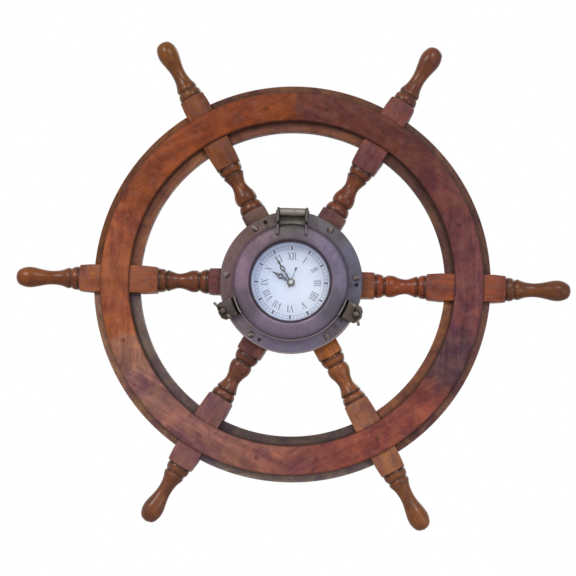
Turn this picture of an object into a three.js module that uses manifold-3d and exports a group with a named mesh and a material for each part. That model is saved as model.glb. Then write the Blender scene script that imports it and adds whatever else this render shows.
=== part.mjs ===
// Ship wheel wall clock: a built-up wooden wheel whose hub carries a hinged porthole with a quartz clock.
// Millimetres, +Z up. The wall is the plane y = 0 and the clock faces -Y, so a depth of 10 is y = -10.
import * as THREE from 'three';
import { mergeVertices } from 'three/addons/utils/BufferGeometryUtils.js';
import Module from 'manifold-3d';

const wasm = await Module();
wasm.setup();

// Clearances
const JOINT_GAP = 0.3;
const RUNNING_GAP = 0.25;
const PRESS_GAP = 0.12;

// Facets of small arbors and holes, of larger pins and tubes, and of a small corner's half
const ARBOR_SEGMENTS = 8;
const TUBE_SEGMENTS = 12;
const CORNER_SEGMENTS = 2;

// Rim of the wheel
const SPOKES = 6;
const CORE_OUTER = 217.5;
const CORE_WIDTH = 50;
const CORE_THICKNESS = 18;
const FACING_COVER = 3.25;
const FACING_SET_BACK = 7.5;
const FACING_WIDTH = 32;
const FACING_CHAMFER = 2.5;
const RIM_SEGMENTS = 48;

// Spokes
const RIM_BLOCK_SET_IN = 5.75;
const RIM_BLOCK_INSIDE = 20.5;
const RIM_BLOCK_OUTSIDE = 16.5;
const HUB_BLOCK = 28.5;
const HUB_BLOCK_LENGTH = 25;
const TENON = 20;
const TENON_LENGTH = 11;
const HANDLE_LENGTH = 71;
const BLOCK_CHAMFER = 1.5;
const TURNING_SEGMENTS = 10;
// Turning templates: share of the length, then radius
const BALUSTER = [
  [0, 12.9], [0.08, 13], [0.19, 10.8], [0.27, 11.8], [0.36, 11.6], [0.57, 8.3], [0.7, 9.4], [0.85, 11.8],
  [1, 12.9],
];
const HANDLE = [
  [0, 12.7], [0.08, 12.4], [0.19, 11.1], [0.3, 8.6], [0.43, 7.6], [0.56, 8.5], [0.72, 10.9], [0.81, 11.4],
  [0.92, 9.4], [0.975, 5.8], [1, 0],
];

// Hub and its hanger
const HUB_SEAT_DEPTH = 10;
const HUB_CHAMFER = 2;
const HANGER_LENGTH = 44;
const HANGER_HEIGHT = 18;
const HANGER_THICKNESS = 2;
const HANGER_UP = 50;
const KEYHOLE_ENTRY = 4.6;
const KEYHOLE_SLOT = 2.6;
const KEYHOLE_RISE = 8;
const KEYHOLE_POCKET = 7;

// Porthole base
const FLANGE_LEDGE = 14;
const FLANGE_OVERHANG = 2;
const FLANGE_THICKNESS = 5.5;
const FLANGE_ROUND = 2;
const COLLAR_WALL = 5.5;
const COLLAR_HEIGHT = 3.1;
const RING_SEGMENTS = 28;
const SEAL_WIDTH = 3;
const SEAL_THICKNESS = 1;
const SCREW_INSET = 6.5;
const SCREW_OFFSET = 5.4;
const SCREW_SIDE = [1, -1, 1, -1, -1, 1];
const SCREW_HEAD = 3.7;
const SCREW_HEAD_HEIGHT = 2;
const SCREW_SHANK = 1.9;
const SCREW_LENGTH = 12;
const SCREW_SLOT = 1;
const SPARE_HOLE = 1.4;
const SPARE_HOLE_DEPTH = 2.5;
const SPARE_HOLE_ANGLES = [-0.8, 114.8, 243];

// Door
const DOOR_BAND = 12;
const DOOR_LIFT = 0.5;
const DOOR_CROWN = 14.5;
const GLASS_LAP = 5.1;
const GLASS_THICKNESS = 2.5;
const GLASS_LIFT = 8;
const RETAINER_WIDTH = 4.4;
const RETAINER_THICKNESS = 2.2;

// Hinge
const HINGE_INSET = 2;
const HINGE_LIFT = 6;
const KNUCKLE_RADIUS = 4.6;
const KNUCKLE_LENGTH = 28;
const CHEEK_THICKNESS = 2.6;
const CHEEK_RADIUS = 5.4;
const CHEEK_FOOT = 26;
const CHEEK_RISE = 2;
const PIN_RADIUS = 1.6;
const PIN_HEAD = 2.6;
const PIN_HEAD_LENGTH = 1.2;

// Wing screws
const DOG_ANGLE = 115;
const DOG_OVERHANG = 2;
const LUG_RADIUS = 6;
const EAR_ROOT = 20;
const EAR_LAP = 6.6;
const EAR_REACH = 5;
const EAR_CORNER = 4;
const EAR_LIFT = 1.2;
const EAR_THICKNESS = 6.6;
const WING_SHANK = 2.5;
const WING_HOLE_GAP = 0.8;
const WING_COLLAR = 5;
const WING_COLLAR_HEIGHT = 2.4;
const WING_SPAN = 13;
const WING_HEIGHT = 10;
const WING_THICKNESS = 3;
const WING_TURN_RIGHT = 104;
const WING_TURN_LEFT = 140;

// Clock insert
const SKIRT_GAP = 0.85;
const SKIRT_WALL = 1;
const SKIRT_LENGTH = 6;
const GRIP_WIDTH = 3;
const PAN_LIP = 1.3;
const PAN_THICKNESS = 1.2;
const PAN_GAP = 1;
const DIAL_INSET = 0.9;
const DIAL_MARGIN = 2.1;
const DIAL_THICKNESS = 0.4;
const NUT_RADIUS = 5;
const NUT_THICKNESS = 2;
const HAND_THICKNESS = 0.6;
const HAND_GAP = 1;
const HOUR_LENGTH = 24;
const MINUTE_LENGTH = 34.5;
const SECOND_LENGTH = 17.5;
const HOUR_ANGLE = 298.7;
const MINUTE_ANGLE = 327;
const SECOND_ANGLE = 19.5;

// Movement
const CASE_CORNER = 4;
const CASE_WALL = 1.6;
const CHAMBER_GAP = 0.6;
const WHEEL_THICKNESS = 1;
const LAYER_GAP = 0.8;
const LAYERS = 7;
const ARBOR = 0.6;
const MOTION_POST = 0.4;
const SECOND_ARBOR = 0.45;
const TUBE_WALL = 0.5;
const BUSH_WALL = 0.75;
const BATTERY_RADIUS = 7.1;
const BATTERY_LENGTH = 50.5;
const CONTACT_THICKNESS = 0.5;
const CONTACT_SPRING = 1;
const KNOB_RADIUS = 5;
const KNOB_HEIGHT = 3;
const KNOB_TO_FLOOR = 1.5;
const MAGNET_RADIUS = 2.6;
const COIL_RADIUS = 2.4;
const COIL_LENGTH = 18;

// Gear train: leaves and teeth, with the module of each pair
const CANNON_LEAVES = 8;
const MINUTE_TEETH = 24;
const MINUTE_LEAVES = 6;
const HOUR_TEETH = 24;
const HOUR_MODULE = 0.48;
const THIRD_LEAVES = 6;
const CENTRE_TEETH = 48;
const CENTRE_MODULE = 0.42;
const SECONDS_LEAVES = 6;
const THIRD_TEETH = 45;
const IDLER_LEAVES = 6;
const SECONDS_TEETH = 36;
const SECONDS_MODULE = 0.45;
const ROTOR_LEAVES = 6;
const IDLER_TEETH = 30;
const IDLER_MODULE = 0.4;
const SETTING_LEAVES = 8;
const ADDENDUM = 0.75;
const DEDENDUM = 1.1;
const TOOTH_AT_ROOT = 0.56;

// Radii that follow, from the movement outwards
const centreTip = (CENTRE_TEETH / 2 + ADDENDUM) * CENTRE_MODULE;
const bayHeight = 2 * (BATTERY_RADIUS + JOINT_GAP);
const caseForTrain = centreTip + CHAMBER_GAP + bayHeight + 2 * CASE_WALL;
const caseForCell = BATTERY_LENGTH / 2 + CONTACT_SPRING + CONTACT_THICKNESS + PRESS_GAP + CASE_WALL;
const caseHalf = Math.max(caseForTrain, caseForCell);
const caseReach = (caseHalf - CASE_CORNER) * Math.SQRT2 + CASE_CORNER;
const skirtRadius = Math.round(10 * (caseReach + SKIRT_GAP + SKIRT_WALL)) / 10;
const pocketRadius = skirtRadius + GRIP_WIDTH;
const panRadius = pocketRadius + PAN_LIP;
const dialRadius = panRadius - DIAL_INSET;
const doorOpening = dialRadius - DIAL_MARGIN;
const glassRadius = doorOpening + GLASS_LAP;
const baseBore = panRadius + PAN_GAP;
const collarOuter = baseBore + COLLAR_WALL;
const doorRadius = collarOuter + DOOR_BAND;
const flangeRadius = doorRadius + FLANGE_LEDGE;
const screwCircle = flangeRadius - SCREW_INSET;
const hingeHeight = flangeRadius - HINGE_INSET;
const dogCircle = flangeRadius + DOG_OVERHANG;
const hubRadius = flangeRadius - FLANGE_OVERHANG;
const hubSeat = hubRadius - HUB_SEAT_DEPTH;
const rimBlock = CORE_THICKNESS + 2 * RIM_BLOCK_SET_IN;
const coreInner = CORE_OUTER - CORE_WIDTH;
const facingOuter = CORE_OUTER - FACING_SET_BACK;
const facingInner = facingOuter - FACING_WIDTH;
const spokeStep = 360 / SPOKES;

// Depths that follow, counted from the wall
const facingThickness = RIM_BLOCK_SET_IN + FACING_COVER;
const wheelDepth = CORE_THICKNESS + 2 * facingThickness;
const spokeDepth = wheelDepth / 2;
const coreBack = facingThickness;
const coreFront = facingThickness + CORE_THICKNESS;
const flangeFront = wheelDepth + FLANGE_THICKNESS;
const collarFront = flangeFront + COLLAR_HEIGHT;
const sealFront = collarFront + SEAL_THICKNESS;
const doorBack = flangeFront + DOOR_LIFT;
const hingeDepth = flangeFront + HINGE_LIFT;
const earBack = flangeFront + EAR_LIFT;
const earFront = earBack + EAR_THICKNESS;
const glassBack = doorBack + GLASS_LIFT;
const glassFront = glassBack + GLASS_THICKNESS;
const panFront = wheelDepth + PAN_THICKNESS;
const dialFront = panFront + DIAL_THICKNESS;
const nutFront = dialFront + NUT_THICKNESS;
const hourHandBack = nutFront + HAND_GAP;
const minuteHandBack = hourHandBack + HAND_THICKNESS + HAND_GAP;
const secondHandBack = minuteHandBack + HAND_THICKNESS + HAND_GAP;
const layerPitch = WHEEL_THICKNESS + LAYER_GAP;
const caseDepth = 2 * CASE_WALL + LAYERS * layerPitch + LAYER_GAP;
const caseBack = wheelDepth - caseDepth;
const chamberFront = wheelDepth - CASE_WALL;
const chamberBack = caseBack + CASE_WALL;
const pocketFloor = caseBack - KNOB_HEIGHT - KNOB_TO_FLOOR;

// Tubes that run one inside the other
const hourBore = SECOND_ARBOR + 2 * (RUNNING_GAP + TUBE_WALL) + RUNNING_GAP;
const cannonBore = SECOND_ARBOR + RUNNING_GAP;
const cannonRadius = cannonBore + TUBE_WALL;
const hourTube = hourBore + TUBE_WALL;
const bushBore = hourTube + RUNNING_GAP;
const bushRadius = bushBore + BUSH_WALL;

const group = new THREE.Group();
const rad = THREE.MathUtils.degToRad;

// Finishes
const FINISH = {
  rim: { color: 0x8a4526, roughness: 0.55, metalness: 0 },
  spoke: { color: 0x7d3a22, roughness: 0.4, metalness: 0 },
  copper: { color: 0x6b5555, roughness: 0.45, metalness: 0.9 },
  olive: { color: 0x5a5140, roughness: 0.45, metalness: 0.9 },
  steel: { color: 0x8d8f92, roughness: 0.35, metalness: 1 },
  rubber: { color: 0x191919, roughness: 0.8, metalness: 0 },
  glass: { color: 0xe8f0f4, roughness: 0.05, metalness: 0, transparent: true, opacity: 0.25 },
  dial: { color: 0xe6ecf5, roughness: 0.7, metalness: 0 },
  hands: { color: 0x15161a, roughness: 0.4, metalness: 0.3 },
  case: { color: 0x1d1d20, roughness: 0.6, metalness: 0 },
  gear: { color: 0xe9e4d2, roughness: 0.5, metalness: 0 },
  brass: { color: 0xb08a3e, roughness: 0.35, metalness: 1 },
  cell: { color: 0x2f5c8a, roughness: 0.4, metalness: 0.4 },
  board: { color: 0x2d6a3d, roughness: 0.6, metalness: 0 },
};

// A closed solid from a geometry, ready to be joined and cut
function solid(geometry) {
  geometry.deleteAttribute('normal');
  geometry.deleteAttribute('uv');
  const merged = mergeVertices(geometry, 1e-4);
  const index = merged.index.array;
  const kept = [];
  for (let i = 0; i < index.length; i += 3) {
    const [a, b, c] = index.slice(i, i + 3);
    if (a !== b && b !== c && c !== a) kept.push(a, b, c);
  }
  const vertProperties = Float32Array.from(merged.attributes.position.array);
  const triVerts = Uint32Array.from(kept);
  return new wasm.Manifold(new wasm.Mesh({ numProp: 3, vertProperties, triVerts }));
}

function join(...solids) {
  return solids.reduce((all, next) => all.add(next));
}

function cut(body, ...tools) {
  return tools.reduce((rest, tool) => rest.subtract(tool), body);
}

function geometryOf(body) {
  const { vertProperties, triVerts } = body.getMesh();
  const geometry = new THREE.BufferGeometry();
  geometry.setAttribute('position', new THREE.BufferAttribute(vertProperties, 3));
  geometry.setIndex(new THREE.BufferAttribute(triVerts, 1));
  geometry.computeVertexNormals();
  return geometry;
}

// Adds a named piece, turned about the clock's axis by an angle seen from the front, anticlockwise
function add(name, body, finish, turn = 0, parent = group) {
  const mesh = new THREE.Mesh(geometryOf(body), new THREE.MeshStandardMaterial(finish));
  mesh.name = name;
  mesh.rotation.y = -rad(turn);
  parent.add(mesh);
  return mesh;
}

// Orders a profile so that the turned surface faces out
function outward(points) {
  let area = 0;
  points.forEach((p, i) => {
    const q = points[(i + 1) % points.length];
    area += p.x * q.y - q.x * p.y;
  });
  return area < 0 ? [...points].reverse() : points;
}

function latheOf(points, segments) {
  const ordered = outward(points);
  const onAxis = ordered.some((p) => p.x === 0);
  return new THREE.LatheGeometry(onAxis ? fromAxis(ordered) : [...ordered, ordered[0]], segments);
}

// Starts an axis-touching profile at the point from which it leaves the axis
function fromAxis(points) {
  const start = points.findIndex((p, i) => p.x === 0 && points[(i + 1) % points.length].x > 0);
  return [...points.slice(start), ...points.slice(0, start)];
}

// Turned about the clock's axis, from points of radius and depth
function turned(profile, segments = RING_SEGMENTS) {
  return solid(latheOf(profile.map(([r, depth]) => new THREE.Vector2(r, -depth)), segments));
}

// Turned about a line along +X, from points of place and radius, at a depth and height
function turnedAlong(profile, depth, height, segments) {
  const geometry = latheOf(profile.map(([x, r]) => new THREE.Vector2(r, x)), segments);
  return solid(geometry.rotateZ(-Math.PI / 2).translate(0, -depth, height));
}

// A flat shape seen from the front, between two depths
function plateGeometry(shape, back, front, curveSegments = 8) {
  const options = { depth: front - back, bevelEnabled: false, curveSegments };
  return new THREE.ExtrudeGeometry(shape, options).rotateX(Math.PI / 2).translate(0, -back, 0);
}

function plate(shape, back, front, curveSegments) {
  return solid(plateGeometry(shape, back, front, curveSegments));
}

function rod(radius, back, front, x = 0, z = 0, sides = ARBOR_SEGMENTS) {
  const geometry = new THREE.CylinderGeometry(radius, radius, front - back, sides);
  return solid(geometry.translate(x, -(back + front) / 2, z));
}

function boxGeometry([x0, x1], [back, front], [z0, z1]) {
  const geometry = new THREE.BoxGeometry(x1 - x0, front - back, z1 - z0);
  return geometry.translate((x0 + x1) / 2, -(back + front) / 2, (z0 + z1) / 2);
}

function box(across, depths, heights) {
  return solid(boxGeometry(across, depths, heights));
}

function polygon(points) {
  return new THREE.Shape(points.map(([x, z]) => new THREE.Vector2(x, z)));
}

// A place on a circle about the clock's axis, by the angle anticlockwise from +X as seen from the front
function onCircle(radius, angle) {
  return [radius * Math.cos(rad(angle)), radius * Math.sin(rad(angle))];
}

function roundedSquare(x0, x1, z0, z1, corner) {
  const shape = new THREE.Shape();
  shape.absarc(x1 - corner, z1 - corner, corner, 0, Math.PI / 2);
  shape.absarc(x0 + corner, z1 - corner, corner, Math.PI / 2, Math.PI);
  shape.absarc(x0 + corner, z0 + corner, corner, Math.PI, 1.5 * Math.PI);
  shape.absarc(x1 - corner, z0 + corner, corner, 1.5 * Math.PI, 2 * Math.PI);
  return shape;
}

// Rim: a core of felloes between the spokes, faced front and back
const notchHalf = rimBlock / 2 + JOINT_GAP;

function felloe() {
  const half = rad(spokeStep / 2);
  const outerEnd = half - Math.asin(notchHalf / CORE_OUTER);
  const innerEnd = half - Math.asin(notchHalf / coreInner);
  const shape = new THREE.Shape();
  shape.absarc(0, 0, CORE_OUTER, -outerEnd, outerEnd, false);
  shape.absarc(0, 0, coreInner, innerEnd, -innerEnd, true);
  return plate(shape, coreBack, coreFront, RIM_SEGMENTS / SPOKES / 2);
}

function facingRing(flat, edge) {
  const towardsEdge = Math.sign(edge - flat);
  const shoulder = edge - towardsEdge * FACING_CHAMFER;
  return turned([
    [facingInner, flat], [facingOuter, flat], [facingOuter, shoulder],
    [facingOuter - FACING_CHAMFER, edge], [facingInner + FACING_CHAMFER, edge], [facingInner, shoulder],
  ], RIM_SEGMENTS);
}

function spokeNotch(back, front, angle) {
  const across = [facingInner - FACING_CHAMFER, facingOuter + FACING_CHAMFER];
  return solid(boxGeometry(across, [back, front], [-notchHalf, notchHalf]).rotateY(-rad(angle)));
}

function frontFacing() {
  const apex = JOINT_GAP / 2 / Math.sin(rad(spokeStep / 2));
  const [reach, rise] = onCircle(2 * CORE_OUTER, spokeStep / 2);
  const wedge = polygon([[apex, 0], [apex + reach, -rise], [apex + reach, rise]]);
  const sector = facingRing(coreFront, wheelDepth).intersect(plate(wedge, coreBack, wheelDepth + 1));
  return cut(sector, spokeNotch(coreBack, spokeDepth + notchHalf, 0));
}

function rearFacing() {
  const ring = facingRing(coreBack, 0);
  const notches = [];
  for (let i = 0; i < SPOKES; i += 1) {
    notches.push(spokeNotch(spokeDepth - notchHalf, coreFront, i * spokeStep));
  }
  return cut(ring, ...notches);
}

// Spoke along +X: tenon, hub block, baluster, rim block and handle turned and squared from one length
const hubBlockEnd = hubSeat + HUB_BLOCK_LENGTH;
const rimBlockStart = coreInner - RIM_BLOCK_INSIDE;
const rimBlockEnd = CORE_OUTER + RIM_BLOCK_OUTSIDE;

function squareBar(side, start, end) {
  const half = side / 2;
  const flat = half - BLOCK_CHAMFER;
  const section = polygon([
    [half, -flat], [half, flat], [flat, half], [-flat, half], [-half, flat], [-half, -flat], [-flat, -half],
    [flat, -half],
  ]);
  const options = { depth: end - start, bevelEnabled: false };
  const geometry = new THREE.ExtrudeGeometry(section, options).rotateY(Math.PI / 2);
  return solid(geometry.translate(start, -spokeDepth, 0));
}

function turnedLength(template, start, length, endsInBlock) {
  const points = template.map(([share, r]) => [start + share * length, r]);
  const first = points[0];
  const last = points[points.length - 1];
  const profile = [[first[0] - BLOCK_CHAMFER, 0], [first[0] - BLOCK_CHAMFER, first[1]], ...points];
  if (endsInBlock) {
    profile.push([last[0] + BLOCK_CHAMFER, last[1]], [last[0] + BLOCK_CHAMFER, 0]);
  }
  return turnedAlong(profile, spokeDepth, 0, TURNING_SEGMENTS);
}

function spoke(screwTurn) {
  const [screwX, screwZ] = onCircle(screwCircle, screwTurn);
  const pilot = wheelDepth - SCREW_LENGTH - JOINT_GAP;
  const body = join(
    squareBar(TENON, hubSeat - TENON_LENGTH, hubSeat + BLOCK_CHAMFER),
    squareBar(HUB_BLOCK, hubSeat, hubBlockEnd),
    turnedLength(BALUSTER, hubBlockEnd, rimBlockStart - hubBlockEnd, true),
    squareBar(rimBlock, rimBlockStart, rimBlockEnd),
    turnedLength(HANDLE, rimBlockEnd, HANDLE_LENGTH, false),
  );
  return cut(body, rod(SCREW_SHANK + JOINT_GAP, pilot, wheelDepth, screwX, screwZ));
}

// Hub: a turned disc with a mortise and a seat for each spoke, and a pocket for the clock
function mortise(side, start, end, angle) {
  const half = side / 2 + JOINT_GAP;
  const depths = [spokeDepth - half, spokeDepth + half];
  return solid(boxGeometry([start - JOINT_GAP, end], depths, [-half, half]).rotateY(-rad(angle)));
}

function hub() {
  const edge = hubRadius - HUB_CHAMFER;
  const disc = turned([
    [0, 0], [edge, 0], [hubRadius, HUB_CHAMFER], [hubRadius, wheelDepth], [pocketRadius, wheelDepth],
    [pocketRadius, pocketFloor], [0, pocketFloor],
  ]);
  const tools = [];
  for (let i = 0; i < SPOKES; i += 1) {
    tools.push(mortise(TENON, hubSeat - TENON_LENGTH, hubRadius, i * spokeStep));
    tools.push(mortise(HUB_BLOCK, hubSeat, hubRadius + 1, i * spokeStep));
    const [x, z] = onCircle(screwCircle, screwAngle(i));
    tools.push(rod(SCREW_SHANK + JOINT_GAP, spokeDepth, wheelDepth + 1, x, z));
  }
  const halfLength = HANGER_LENGTH / 2 + JOINT_GAP;
  const halfHeight = HANGER_HEIGHT / 2 + JOINT_GAP;
  const heights = [HANGER_UP - halfHeight, HANGER_UP + halfHeight];
  tools.push(box([-halfLength, halfLength], [-1, HANGER_THICKNESS], heights));
  const pocketEnd = HANGER_THICKNESS + KEYHOLE_POCKET;
  tools.push(plate(keyhole(KEYHOLE_ENTRY + 2), HANGER_THICKNESS - 1, pocketEnd, CORNER_SEGMENTS));
  return cut(disc, ...tools);
}

// Keyhole slot: a round entry below and a narrow slot rising from it
function keyhole(slotHalf) {
  const bottom = HANGER_UP - KEYHOLE_RISE / 2;
  const top = HANGER_UP + KEYHOLE_RISE / 2;
  const meet = Math.acos(Math.min(1, slotHalf / Math.max(slotHalf, KEYHOLE_ENTRY)));
  const entry = Math.max(slotHalf, KEYHOLE_ENTRY);
  const shape = new THREE.Shape();
  shape.absarc(0, bottom, entry, Math.PI - meet, 2 * Math.PI + meet);
  shape.absarc(0, top, slotHalf, 0, Math.PI);
  return shape;
}

function hangerPlate() {
  const half = HANGER_LENGTH / 2;
  const low = HANGER_UP - HANGER_HEIGHT / 2;
  const shape = roundedSquare(-half, half, low, low + HANGER_HEIGHT, HANGER_HEIGHT / 4);
  shape.holes.push(keyhole(KEYHOLE_SLOT));
  return plate(shape, 0, HANGER_THICKNESS, CORNER_SEGMENTS);
}

// Porthole base: flange and collar with the hinge knuckle and two lugs for the wing screws
function screwAngle(i) {
  return i * spokeStep + SCREW_SIDE[i] * SCREW_OFFSET;
}

// Angles of the wing screws, anticlockwise from +X as seen from the front
const dogAngles = { right: 90 - DOG_ANGLE, left: 90 + DOG_ANGLE };

function tab(rootRadius, rootWidth, endRadius) {
  const shape = new THREE.Shape();
  shape.moveTo(rootRadius, -rootWidth / 2);
  shape.absarc(dogCircle, 0, endRadius, -Math.PI / 2, Math.PI / 2);
  shape.lineTo(rootRadius, rootWidth / 2);
  return shape;
}

// Ear of the door: a square block with its two outer corners taken off
function earShape() {
  const half = EAR_ROOT / 2;
  const root = doorRadius - EAR_LAP;
  const end = dogCircle + EAR_REACH;
  return polygon([
    [root, -half], [end - EAR_CORNER, -half], [end, EAR_CORNER - half], [end, half - EAR_CORNER],
    [end - EAR_CORNER, half], [root, half],
  ]);
}

function turnedTab(shape, back, front, angle) {
  return solid(plateGeometry(shape, back, front, CORNER_SEGMENTS).rotateY(-rad(angle)));
}

function dogHole(back, front, angle) {
  const [x, z] = onCircle(dogCircle, angle);
  return rod(WING_SHANK + WING_HOLE_GAP, back, front, x, z, TUBE_SEGMENTS);
}

function knuckle() {
  const half = KNUCKLE_LENGTH / 2;
  const barrel = [[-half, 0], [-half, KNUCKLE_RADIUS], [half, KNUCKLE_RADIUS], [half, 0]];
  const heights = [hingeHeight - KNUCKLE_RADIUS, hingeHeight + KNUCKLE_RADIUS];
  return join(
    turnedAlong(barrel, hingeDepth, hingeHeight, TUBE_SEGMENTS),
    box([-half, half], [wheelDepth + FLANGE_ROUND, hingeDepth], heights),
  );
}

function portholeBase() {
  const rounding = FLANGE_ROUND * (1 - Math.SQRT1_2);
  const ring = turned([
    [baseBore, wheelDepth], [flangeRadius, wheelDepth], [flangeRadius, flangeFront - FLANGE_ROUND],
    [flangeRadius - rounding, flangeFront - rounding], [flangeRadius - FLANGE_ROUND, flangeFront],
    [collarOuter, flangeFront], [collarOuter, collarFront], [baseBore, collarFront],
  ]);
  const lug = tab(collarOuter, 2 * LUG_RADIUS, LUG_RADIUS);
  const lugs = Object.values(dogAngles).map((a) => turnedTab(lug, wheelDepth, flangeFront, a));
  const tools = Object.values(dogAngles).map((a) => dogHole(wheelDepth - 1, flangeFront + 1, a));
  for (let i = 0; i < SPOKES; i += 1) {
    const [x, z] = onCircle(screwCircle, screwAngle(i));
    tools.push(rod(SCREW_SHANK + JOINT_GAP, wheelDepth - 1, flangeFront + 1, x, z));
  }
  for (const angle of SPARE_HOLE_ANGLES) {
    const [x, z] = onCircle(screwCircle, angle);
    tools.push(rod(SPARE_HOLE, flangeFront - SPARE_HOLE_DEPTH, flangeFront + 1, x, z));
  }
  const bore = PIN_RADIUS + PRESS_GAP;
  const reach = KNUCKLE_LENGTH / 2 + 1;
  const borehole = [[-reach, 0], [-reach, bore], [reach, bore], [reach, 0]];
  tools.push(turnedAlong(borehole, hingeDepth, hingeHeight, ARBOR_SEGMENTS));
  return cut(join(ring, ...lugs, knuckle()), ...tools);
}

function flangeScrew() {
  const top = flangeFront + SCREW_HEAD_HEIGHT;
  const dome = new THREE.Path();
  dome.moveTo(SCREW_HEAD, flangeFront);
  dome.quadraticCurveTo(SCREW_HEAD * 0.8, top, 0, top);
  const head = dome.getPoints(2).map((p) => [p.x, p.y]);
  const tip = wheelDepth - SCREW_LENGTH;
  const shank = [[0, tip], [SCREW_SHANK, tip + SCREW_SHANK], [SCREW_SHANK, flangeFront]];
  const body = turned([...shank, ...head], ARBOR_SEGMENTS);
  const half = SCREW_SLOT / 2;
  const slotDepths = [top - SCREW_HEAD_HEIGHT / 2, top + 1];
  return cut(body, box([-half, half], slotDepths, [-2 * SCREW_HEAD, 2 * SCREW_HEAD]));
}

function doorSeal() {
  const inner = collarOuter - (COLLAR_WALL + SEAL_WIDTH) / 2;
  const outer = inner + SEAL_WIDTH;
  return turned([[inner, collarFront], [outer, collarFront], [outer, sealFront], [inner, sealFront]]);
}

// Door: a crowned ring with two hinge cheeks above and an ear for each wing screw below
function doorRing() {
  const bore = glassRadius + JOINT_GAP;
  const lipBack = glassFront + JOINT_GAP;
  const recess = collarOuter + WING_HOLE_GAP;
  const recessFloor = sealFront + JOINT_GAP;
  const band = doorRadius - doorOpening;
  const face = [[0, 0.36], [0.065, 0.6], [0.28, 0.86], [0.6, 1], [0.91, 0.92], [1, 0.82]].map(
    ([inward, rise]) => [doorRadius - band * inward, doorBack + DOOR_CROWN * rise],
  );
  return turned([
    [recess, doorBack], [doorRadius, doorBack], ...face, [doorOpening, lipBack], [bore, lipBack],
    [bore, recessFloor], [recess, recessFloor],
  ]);
}

// A shape drawn by depth and height, set upright between two places across
function upright(shape, start, end) {
  const options = { depth: end - start, bevelEnabled: false, curveSegments: 4 };
  const axes = [new THREE.Vector3(0, -1, 0), new THREE.Vector3(0, 0, 1), new THREE.Vector3(-1, 0, 0)];
  const stand = new THREE.Matrix4().makeBasis(...axes);
  return solid(new THREE.ExtrudeGeometry(shape, options).applyMatrix4(stand).translate(end, 0, 0));
}

function hingeCheek(start) {
  const foot = hingeHeight - CHEEK_FOOT;
  const crown = doorBack + DOOR_CROWN;
  const shape = new THREE.Shape();
  shape.moveTo(glassBack, foot);
  shape.lineTo(crown + CHEEK_RISE, foot);
  shape.absarc(hingeDepth, hingeHeight, CHEEK_RADIUS, 0, Math.PI);
  shape.lineTo(doorBack + DOOR_LIFT, doorRadius - CHEEK_RADIUS);
  return upright(shape, start, start + CHEEK_THICKNESS);
}

function portholeDoor() {
  const cheek = KNUCKLE_LENGTH / 2 + RUNNING_GAP;
  const ears = Object.values(dogAngles).map((a) => turnedTab(earShape(), earBack, earFront, a));
  const body = join(doorRing(), hingeCheek(cheek), hingeCheek(-cheek - CHEEK_THICKNESS), ...ears);
  const hole = PIN_RADIUS + RUNNING_GAP;
  const reach = cheek + CHEEK_THICKNESS + 1;
  const pinProfile = [[-reach, 0], [-reach, hole], [reach, hole], [reach, 0]];
  const pinHole = turnedAlong(pinProfile, hingeDepth, hingeHeight, ARBOR_SEGMENTS);
  const holes = Object.values(dogAngles).map((a) => dogHole(earBack - 1, earFront + 1, a));
  return cut(body, pinHole, ...holes);
}

function glassRetainer() {
  const outer = glassRadius;
  const inner = outer - RETAINER_WIDTH;
  const back = glassBack - RETAINER_THICKNESS;
  return turned([[inner, back], [outer, back], [outer, glassBack], [inner, glassBack]]);
}

function doorGlass() {
  return turned([[0, glassBack], [glassRadius, glassBack], [glassRadius, glassFront], [0, glassFront]]);
}

function hingePin() {
  const inside = KNUCKLE_LENGTH / 2 + CHEEK_THICKNESS + 2 * RUNNING_GAP;
  const end = inside + PIN_HEAD_LENGTH;
  return turnedAlong([
    [-end, 0], [-end, PIN_HEAD], [-inside, PIN_HEAD], [-inside, PIN_RADIUS],
    [inside, PIN_RADIUS], [inside, PIN_HEAD], [end, PIN_HEAD], [end, 0],
  ], hingeDepth, hingeHeight, ARBOR_SEGMENTS);
}

// Wing screw on its own axis: shank, collar and two wings
function wingScrew() {
  const collarBack = earFront + JOINT_GAP;
  const collarTop = collarBack + WING_COLLAR_HEIGHT;
  const tip = wheelDepth + JOINT_GAP;
  const stem = turned([
    [0, tip], [WING_SHANK - 0.8, tip], [WING_SHANK, tip + 0.8], [WING_SHANK, collarBack],
    [WING_COLLAR, collarBack], [WING_COLLAR, collarTop], [0, collarTop],
  ], TUBE_SEGMENTS);
  const low = collarBack + JOINT_GAP;
  const wings = new THREE.Shape();
  wings.moveTo(-WING_COLLAR, low);
  wings.lineTo(WING_COLLAR, low);
  wings.quadraticCurveTo(WING_SPAN, low, WING_SPAN, low + WING_HEIGHT * 0.7);
  wings.quadraticCurveTo(WING_SPAN, low + WING_HEIGHT, WING_SPAN * 0.75, low + WING_HEIGHT);
  wings.quadraticCurveTo(WING_SPAN * 0.4, low + WING_HEIGHT * 0.6, 0, low + WING_HEIGHT * 0.5);
  wings.quadraticCurveTo(-WING_SPAN * 0.4, low + WING_HEIGHT * 0.6, -WING_SPAN * 0.75, low + WING_HEIGHT);
  wings.quadraticCurveTo(-WING_SPAN, low + WING_HEIGHT, -WING_SPAN, low + WING_HEIGHT * 0.7);
  wings.quadraticCurveTo(-WING_SPAN, low, -WING_COLLAR, low);
  const options = { depth: WING_THICKNESS, bevelEnabled: false, curveSegments: 3 };
  const geometry = new THREE.ExtrudeGeometry(wings, options).translate(0, 0, -WING_THICKNESS / 2);
  return join(stem, solid(geometry.rotateX(Math.PI)));
}

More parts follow.
